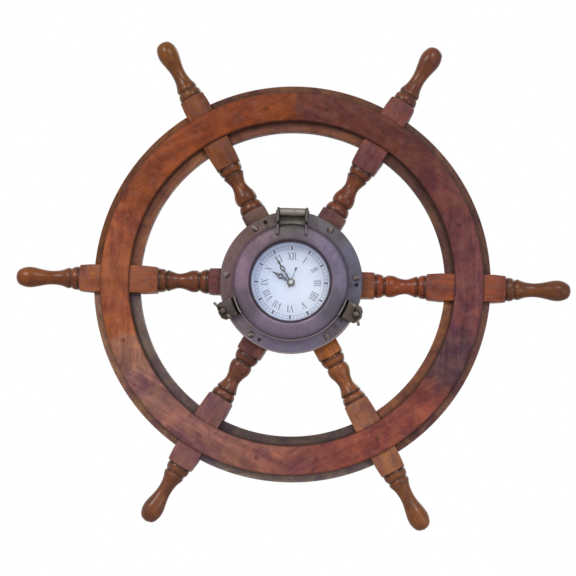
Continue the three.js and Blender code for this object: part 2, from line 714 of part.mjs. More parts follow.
// Clock insert: a pressed pan that carries dial, movement and hands, held in the hub by a rubber ring
function dialPan() {
  const hole = bushRadius + JOINT_GAP;
  const inside = skirtRadius - SKIRT_WALL;
  const skirtBack = wheelDepth - SKIRT_LENGTH;
  return turned([
    [hole, panFront], [hole, wheelDepth], [inside, wheelDepth], [inside, skirtBack], [skirtRadius, skirtBack],
    [skirtRadius, wheelDepth], [panRadius, wheelDepth], [panRadius, panFront],
  ]);
}

function gripRing() {
  const inner = skirtRadius + PRESS_GAP;
  const outer = pocketRadius - JOINT_GAP;
  const front = wheelDepth - 1;
  const back = wheelDepth - SKIRT_LENGTH + 1;
  const middle = (front + back) / 2;
  return turned([[inner, back], [outer, middle - 1], [outer, middle + 1], [inner, front]]);
}

function dialDisc() {
  const hole = bushRadius + JOINT_GAP;
  return turned([[hole, panFront], [dialRadius, panFront], [dialRadius, dialFront], [hole, dialFront]]);
}

function bushNut() {
  return cut(
    rod(NUT_RADIUS, dialFront, nutFront, 0, 0, 6),
    rod(bushRadius + PRESS_GAP, dialFront - 1, nutFront + 1, 0, 0, TUBE_SEGMENTS),
  );
}

// A pierced hand along +Z: boss, stem, open heart and pointed tip
function handShape(boss, stem, length, heart) {
  const base = boss * 0.9;
  const start = length * 0.42;
  const end = length * 0.74;
  const middle = (start + end) / 2;
  const shape = new THREE.Shape();
  shape.moveTo(stem, base);
  shape.lineTo(stem * 0.8, start);
  shape.quadraticCurveTo(heart * 1.5, middle, stem * 0.8, end);
  shape.lineTo(stem * 1.8, end + stem);
  shape.lineTo(0, length);
  shape.lineTo(-stem * 1.8, end + stem);
  shape.lineTo(-stem * 0.8, end);
  shape.quadraticCurveTo(-heart * 1.5, middle, -stem * 0.8, start);
  shape.lineTo(-stem, base);
  const opening = new THREE.Path();
  opening.moveTo(0, start + stem);
  opening.quadraticCurveTo(-heart * 0.85, middle, 0, end - stem);
  opening.quadraticCurveTo(heart * 0.85, middle, 0, start + stem);
  shape.holes.push(opening);
  return shape;
}

function hand(shape, boss, bore, back) {
  const front = back + HAND_THICKNESS;
  const body = join(plate(shape, back, front, 5), rod(boss, back, front, 0, 0, TUBE_SEGMENTS));
  return cut(body, rod(bore, back - 1, front + 1, 0, 0, TUBE_SEGMENTS));
}

function hourHand() {
  const boss = hourTube + PRESS_GAP + 1.2;
  return hand(handShape(boss, 0.8, HOUR_LENGTH, 2.8), boss, hourTube + PRESS_GAP, hourHandBack);
}

function minuteHand() {
  const boss = cannonRadius + PRESS_GAP + 1.2;
  return hand(handShape(boss, 0.7, MINUTE_LENGTH, 2.2), boss, cannonRadius + PRESS_GAP, minuteHandBack);
}

function secondHand() {
  const boss = SECOND_ARBOR + PRESS_GAP + 0.9;
  const width = SECOND_ARBOR * 0.8;
  const tail = -SECOND_LENGTH * 0.3;
  const lozenge = SECOND_LENGTH * 0.82;
  const shape = polygon([
    [width * 2, tail], [width, 0], [width, lozenge], [width * 2.4, lozenge + 1.4], [0, SECOND_LENGTH],
    [-width * 2.4, lozenge + 1.4], [-width, lozenge], [-width, 0], [-width * 2, tail],
  ]);
  return hand(shape, boss, SECOND_ARBOR + PRESS_GAP, secondHandBack);
}

// Gear train. Each wheel lies in a layer, counted back from the front of the case
const layerFront = (layer) => chamberFront - LAYER_GAP - layer * layerPitch;
const layerBack = (layer) => layerFront(layer) - WHEEL_THICKNESS;
const pairReach = (leaves, teeth, module) => (leaves + teeth) * module / 2;

const motionReach = pairReach(MINUTE_LEAVES, HOUR_TEETH, HOUR_MODULE);
const cannonModule = 2 * motionReach / (CANNON_LEAVES + MINUTE_TEETH);
const settingReach = motionReach + pairReach(SETTING_LEAVES, MINUTE_TEETH, cannonModule);
const thirdReach = pairReach(THIRD_LEAVES, CENTRE_TEETH, CENTRE_MODULE);
const thirdModule = 2 * thirdReach / (SECONDS_LEAVES + THIRD_TEETH);
const idlerReach = pairReach(IDLER_LEAVES, SECONDS_TEETH, SECONDS_MODULE);
const rotorReach = pairReach(ROTOR_LEAVES, IDLER_TEETH, IDLER_MODULE);

// Directions of the arbors from the one before, anticlockwise from +X as seen from the front
const MOTION_DIRECTION = 60;
const THIRD_DIRECTION = 150;
const IDLER_DIRECTION = -20;
const ROTOR_DIRECTION = 30;
const motionAt = onCircle(motionReach, MOTION_DIRECTION);
const settingAt = onCircle(settingReach, MOTION_DIRECTION);
const thirdAt = onCircle(thirdReach, THIRD_DIRECTION);
const idlerAt = onCircle(idlerReach, IDLER_DIRECTION);
const rotorStep = onCircle(rotorReach, ROTOR_DIRECTION);
const rotorAt = [idlerAt[0] + rotorStep[0], idlerAt[1] + rotorStep[1]];

// Outline of pointed clock teeth, with a tooth on the line to its mate, or a gap where the mate has a tooth
function toothed(teeth, module, [x, z], towards, gapFirst) {
  const step = 2 * Math.PI / teeth;
  const pitch = teeth * module / 2;
  const tip = pitch + ADDENDUM * module;
  const root = pitch - DEDENDUM * module;
  const start = rad(towards) + (gapFirst ? step / 2 : 0);
  const corners = [[root, -TOOTH_AT_ROOT], [tip, 0], [root, TOOTH_AT_ROOT]];
  const points = [];
  for (let i = 0; i < teeth; i += 1) {
    for (const [r, share] of corners) {
      const angle = start + (i + share / 2) * step;
      points.push([x + r * Math.cos(angle), z + r * Math.sin(angle)]);
    }
  }
  return polygon(points);
}

function wheelIn(layer, outline) {
  return plate(outline, layerBack(layer), layerFront(layer));
}

// A pinion stands a little past both faces of the wheel that it drives
function pinionIn(layer, outline) {
  const past = LAYER_GAP / 4;
  return plate(outline, layerBack(layer) - past, layerFront(layer) + past);
}

const pivotBack = caseBack + RUNNING_GAP;
const pivotFront = chamberFront + CASE_WALL / 2 - RUNNING_GAP;
const bridgeFront = layerFront(3);
const bridgeBack = layerBack(3);

function hourWheel() {
  const rim = wheelIn(0, toothed(HOUR_TEETH, HOUR_MODULE, [0, 0], MOTION_DIRECTION, false));
  const tubeBack = layerFront(0) - WHEEL_THICKNESS / 2;
  const tube = rod(hourTube, tubeBack, hourHandBack + HAND_THICKNESS, 0, 0, TUBE_SEGMENTS);
  return cut(join(rim, tube), rod(hourBore, layerBack(0) - 1, hourHandBack + HAND_GAP, 0, 0, TUBE_SEGMENTS));
}

function minuteWheel() {
  const [x, z] = motionAt;
  const wheel = wheelIn(1, toothed(MINUTE_TEETH, cannonModule, motionAt, MOTION_DIRECTION, true));
  const pinion = pinionIn(0, toothed(MINUTE_LEAVES, HOUR_MODULE, motionAt, MOTION_DIRECTION, true));
  const pinionRoot = (MINUTE_LEAVES / 2 - DEDENDUM) * HOUR_MODULE;
  const sleeve = rod(pinionRoot, layerBack(1), layerFront(0), x, z);
  const bore = rod(MOTION_POST + RUNNING_GAP, layerBack(1) - 1, chamberFront, x, z);
  return cut(join(wheel, pinion, sleeve), bore);
}

function cannonPinion() {
  const leaves = pinionIn(1, toothed(CANNON_LEAVES, cannonModule, [0, 0], MOTION_DIRECTION, false));
  const tubeFront = minuteHandBack + HAND_THICKNESS;
  const tube = rod(cannonRadius, bridgeFront + RUNNING_GAP, tubeFront, 0, 0, TUBE_SEGMENTS);
  return cut(join(leaves, tube), rod(cannonBore, bridgeFront - 1, secondHandBack, 0, 0, TUBE_SEGMENTS));
}

function centreWheel() {
  const rim = wheelIn(2, toothed(CENTRE_TEETH, CENTRE_MODULE, [0, 0], THIRD_DIRECTION, false));
  return cut(rim, rod(cannonRadius + PRESS_GAP, layerBack(2) - 1, layerFront(2) + 1, 0, 0, TUBE_SEGMENTS));
}

function thirdWheel() {
  const [x, z] = thirdAt;
  return join(
    wheelIn(4, toothed(THIRD_TEETH, thirdModule, thirdAt, THIRD_DIRECTION, false)),
    pinionIn(2, toothed(THIRD_LEAVES, CENTRE_MODULE, thirdAt, THIRD_DIRECTION + 180, true)),
    rod(ARBOR, pivotBack, pivotFront, x, z),
  );
}

function secondsWheel() {
  return join(
    wheelIn(5, toothed(SECONDS_TEETH, SECONDS_MODULE, [0, 0], IDLER_DIRECTION, false)),
    pinionIn(4, toothed(SECONDS_LEAVES, thirdModule, [0, 0], THIRD_DIRECTION, false)),
    rod(SECOND_ARBOR, pivotBack, secondHandBack + HAND_THICKNESS, 0, 0),
  );
}

function idlerWheel() {
  const [x, z] = idlerAt;
  return join(
    wheelIn(6, toothed(IDLER_TEETH, IDLER_MODULE, idlerAt, ROTOR_DIRECTION, false)),
    pinionIn(5, toothed(IDLER_LEAVES, SECONDS_MODULE, idlerAt, IDLER_DIRECTION + 180, true)),
    rod(ARBOR, pivotBack, bridgeFront - RUNNING_GAP, x, z),
  );
}

function rotor() {
  const [x, z] = rotorAt;
  return join(
    pinionIn(6, toothed(ROTOR_LEAVES, IDLER_MODULE, rotorAt, ROTOR_DIRECTION + 180, true)),
    rod(MAGNET_RADIUS, layerBack(5), layerFront(4), x, z, TUBE_SEGMENTS),
    rod(ARBOR, pivotBack, bridgeFront - RUNNING_GAP, x, z),
  );
}

function settingKnob() {
  const [x, z] = settingAt;
  const knobFront = caseBack - JOINT_GAP;
  const grip = rod(KNOB_RADIUS, knobFront - KNOB_HEIGHT, knobFront, x, z, TUBE_SEGMENTS);
  const flat = KNOB_RADIUS / 3;
  const across = [x - KNOB_RADIUS, x + KNOB_RADIUS];
  const slotFloor = knobFront - KNOB_HEIGHT / 2;
  const slot = box(across, [knobFront - KNOB_HEIGHT - 1, slotFloor], [z - flat / 2, z + flat / 2]);
  return join(
    cut(grip, slot),
    rod(ARBOR, slotFloor, pivotFront, x, z),
    pinionIn(1, toothed(SETTING_LEAVES, cannonModule, settingAt, MOTION_DIRECTION + 180, false)),
  );
}

// Movement case: gear chamber above, battery bay below, both open to the back
const inner = caseHalf - CASE_WALL;
const bayTop = -inner + bayHeight;
const chamberLow = bayTop + CASE_WALL;
const bearing = (r, [x, z], back, front) => rod(r + RUNNING_GAP, back, front, x, z);

function movementCase() {
  const outline = roundedSquare(-caseHalf, caseHalf, -caseHalf, caseHalf, CASE_CORNER);
  const shell = plate(outline, caseBack, wheelDepth, CORNER_SEGMENTS);
  const bush = rod(bushRadius, wheelDepth - CASE_WALL / 2, nutFront, 0, 0, TUBE_SEGMENTS);
  const [postX, postZ] = motionAt;
  const hollow = cut(
    join(shell, bush),
    box([-inner, inner], [caseBack - 1, chamberFront], [chamberLow, inner]),
    box([-inner, inner], [caseBack - 1, chamberFront], [-inner, bayTop]),
    rod(bushBore, chamberFront - 1, nutFront + 1, 0, 0, TUBE_SEGMENTS),
    bearing(ARBOR, thirdAt, chamberFront - 1, chamberFront + CASE_WALL / 2),
    bearing(ARBOR, settingAt, chamberFront - 1, chamberFront + CASE_WALL / 2),
  );
  return join(hollow, rod(MOTION_POST, layerBack(1), wheelDepth - CASE_WALL / 2, postX, postZ));
}

function chamberPlate(back, front) {
  const edge = inner - JOINT_GAP;
  return box([-edge, edge], [back, front], [chamberLow + JOINT_GAP, edge]);
}

function movementBack() {
  const [back, front] = [caseBack - 1, chamberBack + 1];
  return cut(
    chamberPlate(caseBack, chamberBack),
    bearing(SECOND_ARBOR, [0, 0], back, front),
    ...[thirdAt, idlerAt, rotorAt, settingAt].map((at) => bearing(ARBOR, at, back, front)),
  );
}

function trainBridge() {
  const [back, front] = [bridgeBack - 1, bridgeFront + 1];
  return cut(
    chamberPlate(bridgeBack, bridgeFront),
    bearing(SECOND_ARBOR, [0, 0], back, front),
    ...[thirdAt, idlerAt, rotorAt, settingAt].map((at) => bearing(ARBOR, at, back, front)),
  );
}

// Stepping motor: a stator round the rotor's magnet, and a coil across its two arms
const statorBack = layerBack(5);
const statorFront = statorBack + WHEEL_THICKNESS;
const coilAt = rotorAt[0] + MAGNET_RADIUS + 4 * WHEEL_THICKNESS;
const coilLow = rotorAt[1] - MAGNET_RADIUS;

function stator() {
  const [x, z] = rotorAt;
  const gap = MAGNET_RADIUS + 2 * RUNNING_GAP;
  const left = x - gap;
  const right = coilAt + COIL_RADIUS;
  const waist = coilAt - COIL_RADIUS - JOINT_GAP;
  const low = coilLow - JOINT_GAP;
  const high = coilLow + COIL_LENGTH + JOINT_GAP;
  const arm = 3 * WHEEL_THICKNESS;
  const shape = polygon([
    [left, low - arm], [right, low - arm], [right, low], [waist, low], [waist, high], [right, high],
    [right, high + arm], [left, high + arm],
  ]);
  const cutOut = rod(gap, statorBack - 1, statorFront + 1, x, z, TUBE_SEGMENTS);
  return cut(plate(shape, statorBack, statorFront), cutOut);
}

function coil() {
  const flange = COIL_RADIUS;
  const core = COIL_RADIUS * 0.85;
  const cheek = WHEEL_THICKNESS;
  const profile = [
    [0, 0], [0, flange], [cheek, flange], [cheek, core], [COIL_LENGTH - cheek, core],
    [COIL_LENGTH - cheek, flange], [COIL_LENGTH, flange], [COIL_LENGTH, 0],
  ];
  const geometry = latheOf(profile.map(([along, r]) => new THREE.Vector2(r, along)), ARBOR_SEGMENTS);
  const depth = bridgeBack - COIL_RADIUS - JOINT_GAP;
  return solid(geometry.rotateX(Math.PI / 2).translate(coilAt, -depth, coilLow));
}

function circuitBoard() {
  const edge = inner - 2 * JOINT_GAP;
  const back = chamberBack + JOINT_GAP;
  return box([-edge, -edge / 4], [back, back + WHEEL_THICKNESS], [edge * 0.66, edge]);
}

function battery() {
  const depth = chamberFront - JOINT_GAP - BATTERY_RADIUS;
  const height = (bayTop - inner) / 2;
  const end = BATTERY_LENGTH / 2;
  const nub = BATTERY_RADIUS * 0.4;
  return turnedAlong([
    [-end, 0], [-end, BATTERY_RADIUS], [end - 1.2, BATTERY_RADIUS], [end - 1.2, nub], [end, nub], [end, 0],
  ], depth, height, TUBE_SEGMENTS);
}

function contact(side) {
  const outside = inner - PRESS_GAP;
  const across = [outside - CONTACT_THICKNESS, outside].map((x) => side * x).sort((a, b) => a - b);
  const height = (bayTop - inner) / 2;
  const reach = BATTERY_RADIUS * 0.7;
  return box(across, [caseBack + 1, chamberFront - JOINT_GAP], [height - reach, height + reach]);
}

// Assembly: the wheel first
const segment = frontFacing();
const felloeBody = felloe();
for (let i = 0; i < SPOKES; i += 1) {
  const angle = i * spokeStep;
  add(`front_facing_${i + 1}`, segment, FINISH.rim, angle);
  add(`rim_felloe_${i + 1}`, felloeBody, FINISH.rim, angle + spokeStep / 2);
  add(`spoke_${i + 1}`, spoke(SCREW_SIDE[i] * SCREW_OFFSET), FINISH.spoke, angle);
}
add('rear_facing_ring', rearFacing(), FINISH.rim);
add('hub', hub(), FINISH.rim);
add('hanger_plate', hangerPlate(), FINISH.steel);

// Porthole
add('porthole_base', portholeBase(), FINISH.copper);
const screw = flangeScrew();
for (let i = 0; i < SPOKES; i += 1) {
  const [x, z] = onCircle(screwCircle, screwAngle(i));
  add(`flange_screw_${i + 1}`, screw, FINISH.olive, screwAngle(i)).position.set(x, 0, z);
}
add('door_seal', doorSeal(), FINISH.rubber);
add('porthole_door', portholeDoor(), FINISH.copper);
add('door_glass', doorGlass(), FINISH.glass);
add('glass_retainer', glassRetainer(), FINISH.olive);
add('hinge_pin', hingePin(), FINISH.olive);
const wing = wingScrew();
const [rightX, rightZ] = onCircle(dogCircle, dogAngles.right);
const [leftX, leftZ] = onCircle(dogCircle, dogAngles.left);
add('wing_screw_right', wing, FINISH.olive, WING_TURN_RIGHT).position.set(rightX, 0, rightZ);
add('wing_screw_left', wing, FINISH.olive, WING_TURN_LEFT).position.set(leftX, 0, leftZ);

// Clock insert, with the hands turned clockwise from twelve
add('dial_pan', dialPan(), FINISH.steel);
add('insert_grip_ring', gripRing(), FINISH.rubber);
add('dial', dialDisc(), FINISH.dial);
add('bush_nut', bushNut(), FINISH.brass);
add('hour_hand', hourHand(), FINISH.hands, -HOUR_ANGLE);
add('minute_hand', minuteHand(), FINISH.hands, -MINUTE_ANGLE);
add('second_hand', secondHand(), FINISH.hands, -SECOND_ANGLE);

// Movement
add('movement_case', movementCase(), FINISH.case);
add('movement_back', movementBack(), FINISH.case);
add('train_bridge', trainBridge(), FINISH.gear);
add('battery', battery(), FINISH.cell);
add('contact_positive', contact(1), FINISH.brass);
add('contact_negative', contact(-1), FINISH.brass);
add('circuit_board', circuitBoard(), FINISH.board);
add('coil', coil(), FINISH.brass);
add('stator', stator(), FINISH.steel);
add('rotor', rotor(), FINISH.steel);
add('idler_wheel', idlerWheel(), FINISH.gear);
add('seconds_wheel', secondsWheel(), FINISH.gear);
add('third_wheel', thirdWheel(), FINISH.gear);
add('centre_wheel', centreWheel(), FINISH.gear);
add('cannon_pinion', cannonPinion(), FINISH.gear);
add('minute_wheel', minuteWheel(), FINISH.gear);
add('hour_wheel', hourWheel(), FINISH.gear);
add('setting_knob', settingKnob(), FINISH.case);

export default group;
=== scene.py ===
from math import asin, cos, pi, radians, sin, tau

import bpy
from mathutils import Matrix, Vector


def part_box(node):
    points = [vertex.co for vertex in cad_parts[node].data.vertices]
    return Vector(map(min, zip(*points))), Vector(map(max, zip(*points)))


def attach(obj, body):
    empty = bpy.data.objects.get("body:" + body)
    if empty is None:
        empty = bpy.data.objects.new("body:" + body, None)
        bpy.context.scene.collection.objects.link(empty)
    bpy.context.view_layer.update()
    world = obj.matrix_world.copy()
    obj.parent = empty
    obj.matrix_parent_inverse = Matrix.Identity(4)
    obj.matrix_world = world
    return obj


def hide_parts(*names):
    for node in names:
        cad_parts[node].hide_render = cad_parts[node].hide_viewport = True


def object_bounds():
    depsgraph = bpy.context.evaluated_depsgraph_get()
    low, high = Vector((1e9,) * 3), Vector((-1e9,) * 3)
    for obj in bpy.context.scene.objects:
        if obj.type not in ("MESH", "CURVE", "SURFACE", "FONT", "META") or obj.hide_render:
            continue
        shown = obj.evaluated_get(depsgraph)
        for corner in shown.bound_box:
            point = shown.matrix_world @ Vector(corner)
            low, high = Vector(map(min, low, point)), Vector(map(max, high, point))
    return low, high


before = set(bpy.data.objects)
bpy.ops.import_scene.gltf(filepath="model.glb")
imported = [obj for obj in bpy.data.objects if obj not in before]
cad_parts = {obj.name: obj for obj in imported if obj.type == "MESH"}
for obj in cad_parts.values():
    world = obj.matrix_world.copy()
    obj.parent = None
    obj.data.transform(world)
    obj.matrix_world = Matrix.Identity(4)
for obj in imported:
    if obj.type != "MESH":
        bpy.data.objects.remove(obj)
cad_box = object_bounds()


# View and light: the clock hangs on a wall and is seen square on, a little from its right
# and from just below, by a long lens. The wheel hangs not quite two degrees out of true.
mm = 0.001
picture_side, millimetres_per_pixel, sensor_width = 576, 1.098, 36.0
eye_turn, eye_rise, eye_distance = radians(3.2), radians(-4.3), 3.0
wheel_tilt = radians(1.75)
aim = Vector((-4.3, -18.0, -4.6)) * mm
scene = bpy.context.scene
scene.view_settings.view_transform = "Standard"
towards_eye = Vector((sin(eye_turn) * cos(eye_rise), -cos(eye_turn) * cos(eye_rise), sin(eye_rise)))
lens = bpy.data.cameras.new("eye")
lens.sensor_width = sensor_width
lens.lens = sensor_width * eye_distance / (picture_side * millimetres_per_pixel * mm)
eye = bpy.data.objects.new("eye", lens)
scene.collection.objects.link(eye)
eye.matrix_world = (Matrix.Translation(aim + towards_eye * eye_distance)
                    @ towards_eye.to_track_quat("Z", "Y").to_matrix().to_4x4()
                    @ Matrix.Rotation(wheel_tilt, 4, "Z"))
scene.camera = eye


def add_node(kind, sockets, tree=None, **settings):
    linked = [value for value in sockets.values() if isinstance(value, bpy.types.NodeSocket)]
    tree = tree or linked[0].id_data
    made = tree.nodes.new("ShaderNode" + kind)
    for setting, value in settings.items():
        setattr(made, setting, value)
    for socket, value in sockets.items():
        if isinstance(value, bpy.types.NodeSocket):
            tree.links.new(value, made.inputs[socket])
        else:
            made.inputs[socket].default_value = value
    return made


def reckon(operation, first, second=0.0):
    return add_node("Math", {0: first, 1: second}, operation=operation).outputs[0]


def between(value, low, high, from_low=0.0, from_high=1.0):
    return add_node("MapRange", {"Value": value, "From Min": from_low, "From Max": from_high,
                                 "To Min": low, "To Max": high}).outputs[0]


room = bpy.data.worlds.new("studio")
scene.world = room
room.use_nodes = True
room.node_tree.nodes.clear()
ray = add_node("LightPath", {}, room.node_tree).outputs
seen = reckon("MAXIMUM", ray["Is Camera Ray"], ray["Is Glossy Ray"])
seen = reckon("MAXIMUM", seen, ray["Is Transmission Ray"])
sky = add_node("Background", {"Color": (1, 1, 1, 1), "Strength": between(seen, 0.3, 1.0)})
add_node("OutputWorld", {"Surface": sky.outputs[0]})

for lamp_name, place, size, power, colour in (
        ("window_left", (-1.15, -1.6, 1.15), 0.7, 25.5, (1.0, 0.96, 0.9)),
        ("window_front", (0.75, -2.0, 1.5), 0.7, 23.0, (0.96, 0.98, 1.0)),
        ("window_right", (1.5, -1.2, -0.2), 0.8, 6.0, (0.78, 0.86, 1.0)),
        ("window_back", (1.3, 1.9, 1.4), 0.8, 9.0, (1.0, 0.97, 0.94))):
    lamp = bpy.data.lights.new(lamp_name, "AREA")
    lamp.size, lamp.energy, lamp.color = size, power, colour
    stand = bpy.data.objects.new(lamp_name, lamp)
    stand.matrix_world = (Matrix.Translation(place)
                          @ Vector(place).to_track_quat("Z", "Y").to_matrix().to_4x4())
    scene.collection.objects.link(stand)


# Floor: a plain pale sheet under the clock, well below the lowest handle, which only takes
# the clock's shadow.
floor_side, floor_forward, floor_drop = 1.5, 0.35, 0.16


def noise(vector, stretch, detail=4.0, rough=0.55, warp=0.0):
    even = stretch if isinstance(stretch, tuple) else (stretch, stretch, stretch)
    spread = add_node("Mapping", {"Vector": vector, "Scale": even})
    return add_node("TexNoise", {"Vector": spread.outputs[0], "Scale": 1.0, "Detail": detail,
                                 "Roughness": rough, "Distortion": warp}).outputs["Fac"]


def blend(share, first, second, kind="MIX"):
    return add_node("Mix", {0: share, 6: first, 7: second}, data_type="RGBA",
                    blend_type=kind).outputs[2]


def start_material(name, plain):
    made = bpy.data.materials.new(name)
    made.use_nodes = True
    shader = made.node_tree.nodes["Principled BSDF"]
    for socket, value in plain.items():
        shader.inputs[socket].default_value = value
    return made, shader, add_node("TexCoord", {}, made.node_tree).outputs["Object"]


def feed(end, sockets):
    for socket, value in sockets.items():
        end.id_data.links.new(value, end.inputs[socket])


def lay_on(shader, colour, gloss, height=None, lift=0.0):
    feed(shader, {"Base Color": colour, "Roughness": gloss})
    if height is not None:
        bump = add_node("Bump", {"Height": height, "Distance": lift * mm, "Strength": 1.0})
        feed(shader, {"Normal": bump.outputs[0]})


bpy.ops.object.select_all(action="DESELECT")
bpy.ops.mesh.primitive_plane_add(size=floor_side,
                                 location=(0, -floor_forward, cad_box[0][2] - floor_drop))
floor = bpy.context.object
floor.name = "floor"
floor_paint, shader, at = start_material("floor_paint", {"Roughness": 0.8})
speckle = noise(at, 3, 2.0, 0.5)
feed(shader, {"Base Color": blend(speckle, (0.86, 0.86, 0.85, 1), (0.9, 0.9, 0.89, 1))})
floor.data.materials.append(floor_paint)


# Hub: a thick disc of stained hardwood turned on a faceplate, with a deep pocket bored from the
# front for the clock insert and a pocket at the back for the hanger. The spokes are glued in it.
weld, smooth_below = 0.002 * mm, radians(38)


def clear_selection():
    if bpy.context.object and bpy.context.object.mode != "OBJECT":
        bpy.ops.object.mode_set(mode="OBJECT")
    bpy.ops.object.select_all(action="DESELECT")


def take_up(piece):
    clear_selection()
    piece.select_set(True)
    bpy.context.view_layer.objects.active = piece


def draw_line(name, points):
    clear_selection()
    bpy.ops.mesh.primitive_plane_add(size=mm, location=Vector(points[0]) * mm)
    piece = bpy.context.object
    piece.name = piece.data.name = name
    bpy.ops.object.mode_set(mode="EDIT")
    bpy.ops.mesh.merge(type="CENTER")
    for here, there in zip(points, points[1:]):
        bpy.ops.mesh.extrude_region_move(
            TRANSFORM_OT_translate={"value": (Vector(there) - Vector(here)) * mm})
    bpy.ops.mesh.select_all(action="SELECT")
    return piece


def close_up():
    bpy.ops.mesh.select_all(action="SELECT")
    bpy.ops.mesh.remove_doubles(threshold=weld)
    bpy.ops.mesh.normals_make_consistent(inside=False)
    bpy.ops.object.mode_set(mode="OBJECT")
    bpy.ops.object.transform_apply(location=True, rotation=True, scale=True)


def spin_up(name, points, centre=(0, 0, 0), axis=(0, 1, 0), steps=128):
    piece = draw_line(name, points)
    bpy.ops.mesh.spin(steps=steps, angle=tau, center=Vector(centre) * mm, axis=axis)
    close_up()
    return piece


def turned(name, outline, steps=128):
    return spin_up(name, [(radius, -depth, 0) for radius, depth in outline], steps=steps)


def turned_ring(name, outline, steps=128):
    return turned(name, outline + outline[:1], steps)


def fill_in():
    bpy.ops.mesh.remove_doubles(threshold=weld)
    bpy.ops.mesh.edge_face_add()


def cut_plate(name, points, push):
    piece = draw_line(name, list(points) + [points[0]])
    fill_in()
    bpy.ops.mesh.extrude_region_move(TRANSFORM_OT_translate={"value": Vector(push) * mm})
    close_up()
    return piece


def block(name, low, high):
    (x0, y0, z0), (x1, y1, z1) = low, high
    return cut_plate(name, [(x0, y0, z0), (x1, y0, z0), (x1, y0, z1), (x0, y0, z1)],
                     (0, y1 - y0, 0))


def combine(piece, other, operation="DIFFERENCE"):
    take_up(piece)
    bpy.ops.object.modifier_add(type="BOOLEAN")
    cut = piece.modifiers[-1]
    cut.operation, cut.solver, cut.object = operation, "EXACT", other
    bpy.ops.object.modifier_apply(modifier=cut.name)
    bpy.data.objects.remove(other)


def dress(piece, material, slot, body, *nodes):
    take_up(piece)
    bpy.ops.object.shade_smooth_by_angle(angle=smooth_below)
    piece.data.materials.clear()
    piece.data.materials.append(material)
    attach(piece, body)
    if nodes:
        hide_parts(*nodes)


def group_of(name, inputs, outputs):
    made = bpy.data.node_groups.new(name, "ShaderNodeTree")
    for way, sockets in (("INPUT", inputs), ("OUTPUT", outputs)):
        for label, kind in sockets.items():
            made.interface.new_socket(label, in_out=way, socket_type="NodeSocket" + kind)
    return made, made.nodes.new("NodeGroupInput").outputs, made.nodes.new("NodeGroupOutput")


# The stained wood's figure: long soft streaks and fine pores along x, darker stain in patches and
# a grey bloom where the finish has dulled. The tint is the colour of the single board.
wood_figure, given, made = group_of(
    "wood_figure", {"Vector": "Vector", "Patch": "Vector", "Tint": "Color", "Bloom": "Float"},
    {"Color": "Color", "Roughness": "Float", "Height": "Float"})
streak = noise(given["Vector"], (22, 300, 300), 5.0, 0.6, 0.4)
figure = noise(given["Vector"], (9, 85, 85), 3.0, 0.5, 1.1)
pores = noise(given["Vector"], (120, 1700, 1700), 2.0, 0.6)
stain = noise(given["Patch"], 48, 4.0, 0.6, 0.5)
shade = between(figure, 0.77, 1.25, 0.28, 0.72)
shade = reckon("MULTIPLY", shade, between(streak, 0.82, 1.18, 0.3, 0.7))
pore_mark = between(pores, 0.66, 1.0, 0.36, 0.46)
shade = reckon("MULTIPLY", shade, pore_mark)
ground = blend(between(stain, 0.0, 1.0, 0.34, 0.66), (0.66, 0.58, 0.80, 1), (1.30, 1.28, 1.04, 1))
ground = blend(1.0, given["Tint"], ground, "MULTIPLY")
ground = add_node("VectorMath", {0: ground, "Scale": shade}, operation="SCALE").outputs[0]
dull = between(noise(given["Patch"], 90, 4.0, 0.65), 0.0, 1.0, 0.5, 0.75)
ground = blend(reckon("MULTIPLY", dull, given["Bloom"]), ground, (0.25, 0.145, 0.125, 1))
feed(made, {"Color": ground, "Roughness": between(stain, 0.62, 0.38, 0.3, 0.7),
            "Height": reckon("ADD", pore_mark, streak)})

# Six like boards stand round the wheel: each point is turned back to the board at the right, so
# that the grain runs along every board, and the round tells how far round the wheel it stands.
board_frame, given, made = group_of("board_frame", {"Vector": "Vector", "First": "Float"},
                                    {"Vector": "Vector", "Round": "Float"})
parts = add_node("SeparateXYZ", {0: given["Vector"]}).outputs
bearing = reckon("SUBTRACT", reckon("ARCTAN2", parts["Z"], parts["X"]), given["First"])
number = reckon("ROUND", reckon("DIVIDE", bearing, pi / 3))
back = reckon("ADD", reckon("MULTIPLY", number, pi / 3), given["First"])
straight = add_node("VectorRotate", {"Vector": given["Vector"], "Angle": back},
                    rotation_type="Y_AXIS")
number = reckon("FLOORED_MODULO", number, 6.0)
apart = add_node("CombineXYZ", {0: reckon("MULTIPLY", number, 1.7),
                                2: reckon("MULTIPLY", number, 0.9)})
straight = add_node("VectorMath", {0: straight.outputs[0], 1: apart.outputs[0]},
                    operation="ADD")
whole = reckon("ADD", reckon("DIVIDE", bearing, tau), 1 / 12)
feed(made, {"Vector": straight.outputs[0], "Round": reckon("FLOORED_MODULO", whole, 1.0)})


def board_tint(boards, tints, paired):
    pick = add_node("ValToRGB", {0: boards.outputs["Round"]})
    while len(pick.color_ramp.elements) < 2 * len(tints):
        pick.color_ramp.elements.new(0.5)
    for step, tint in enumerate(tints):
        start, end = ((0.33, 0.999) if step % 2 else (0.001, 0.67)) if paired else (0.001, 0.999)
        for stop, share in zip(pick.color_ramp.elements[2 * step:2 * step + 2], (start, end)):
            stop.position, stop.color = (step + share) / len(tints), (*tint, 1)
    return pick.outputs["Color"]


def from_axis(at, x=0.0, z=0.0):
    flat = add_node("VectorMath", {0: at, 1: (1, 0, 1)}, operation="MULTIPLY")
    return add_node("VectorMath", {0: flat.outputs[0], 1: (x * mm, 0, z * mm)},
                    operation="DISTANCE").outputs["Value"]


def near_ring(out, radius, depth, full, reach):
    away = reckon("ABSOLUTE", reckon("SUBTRACT", out, radius * mm))
    return between(away, depth, 0.0, full * mm, reach * mm)


def within(out, start, end):
    half = (end - start) / 2
    return near_ring(out, (start + end) / 2, 1.0, half - 1.0, half + 1.0)


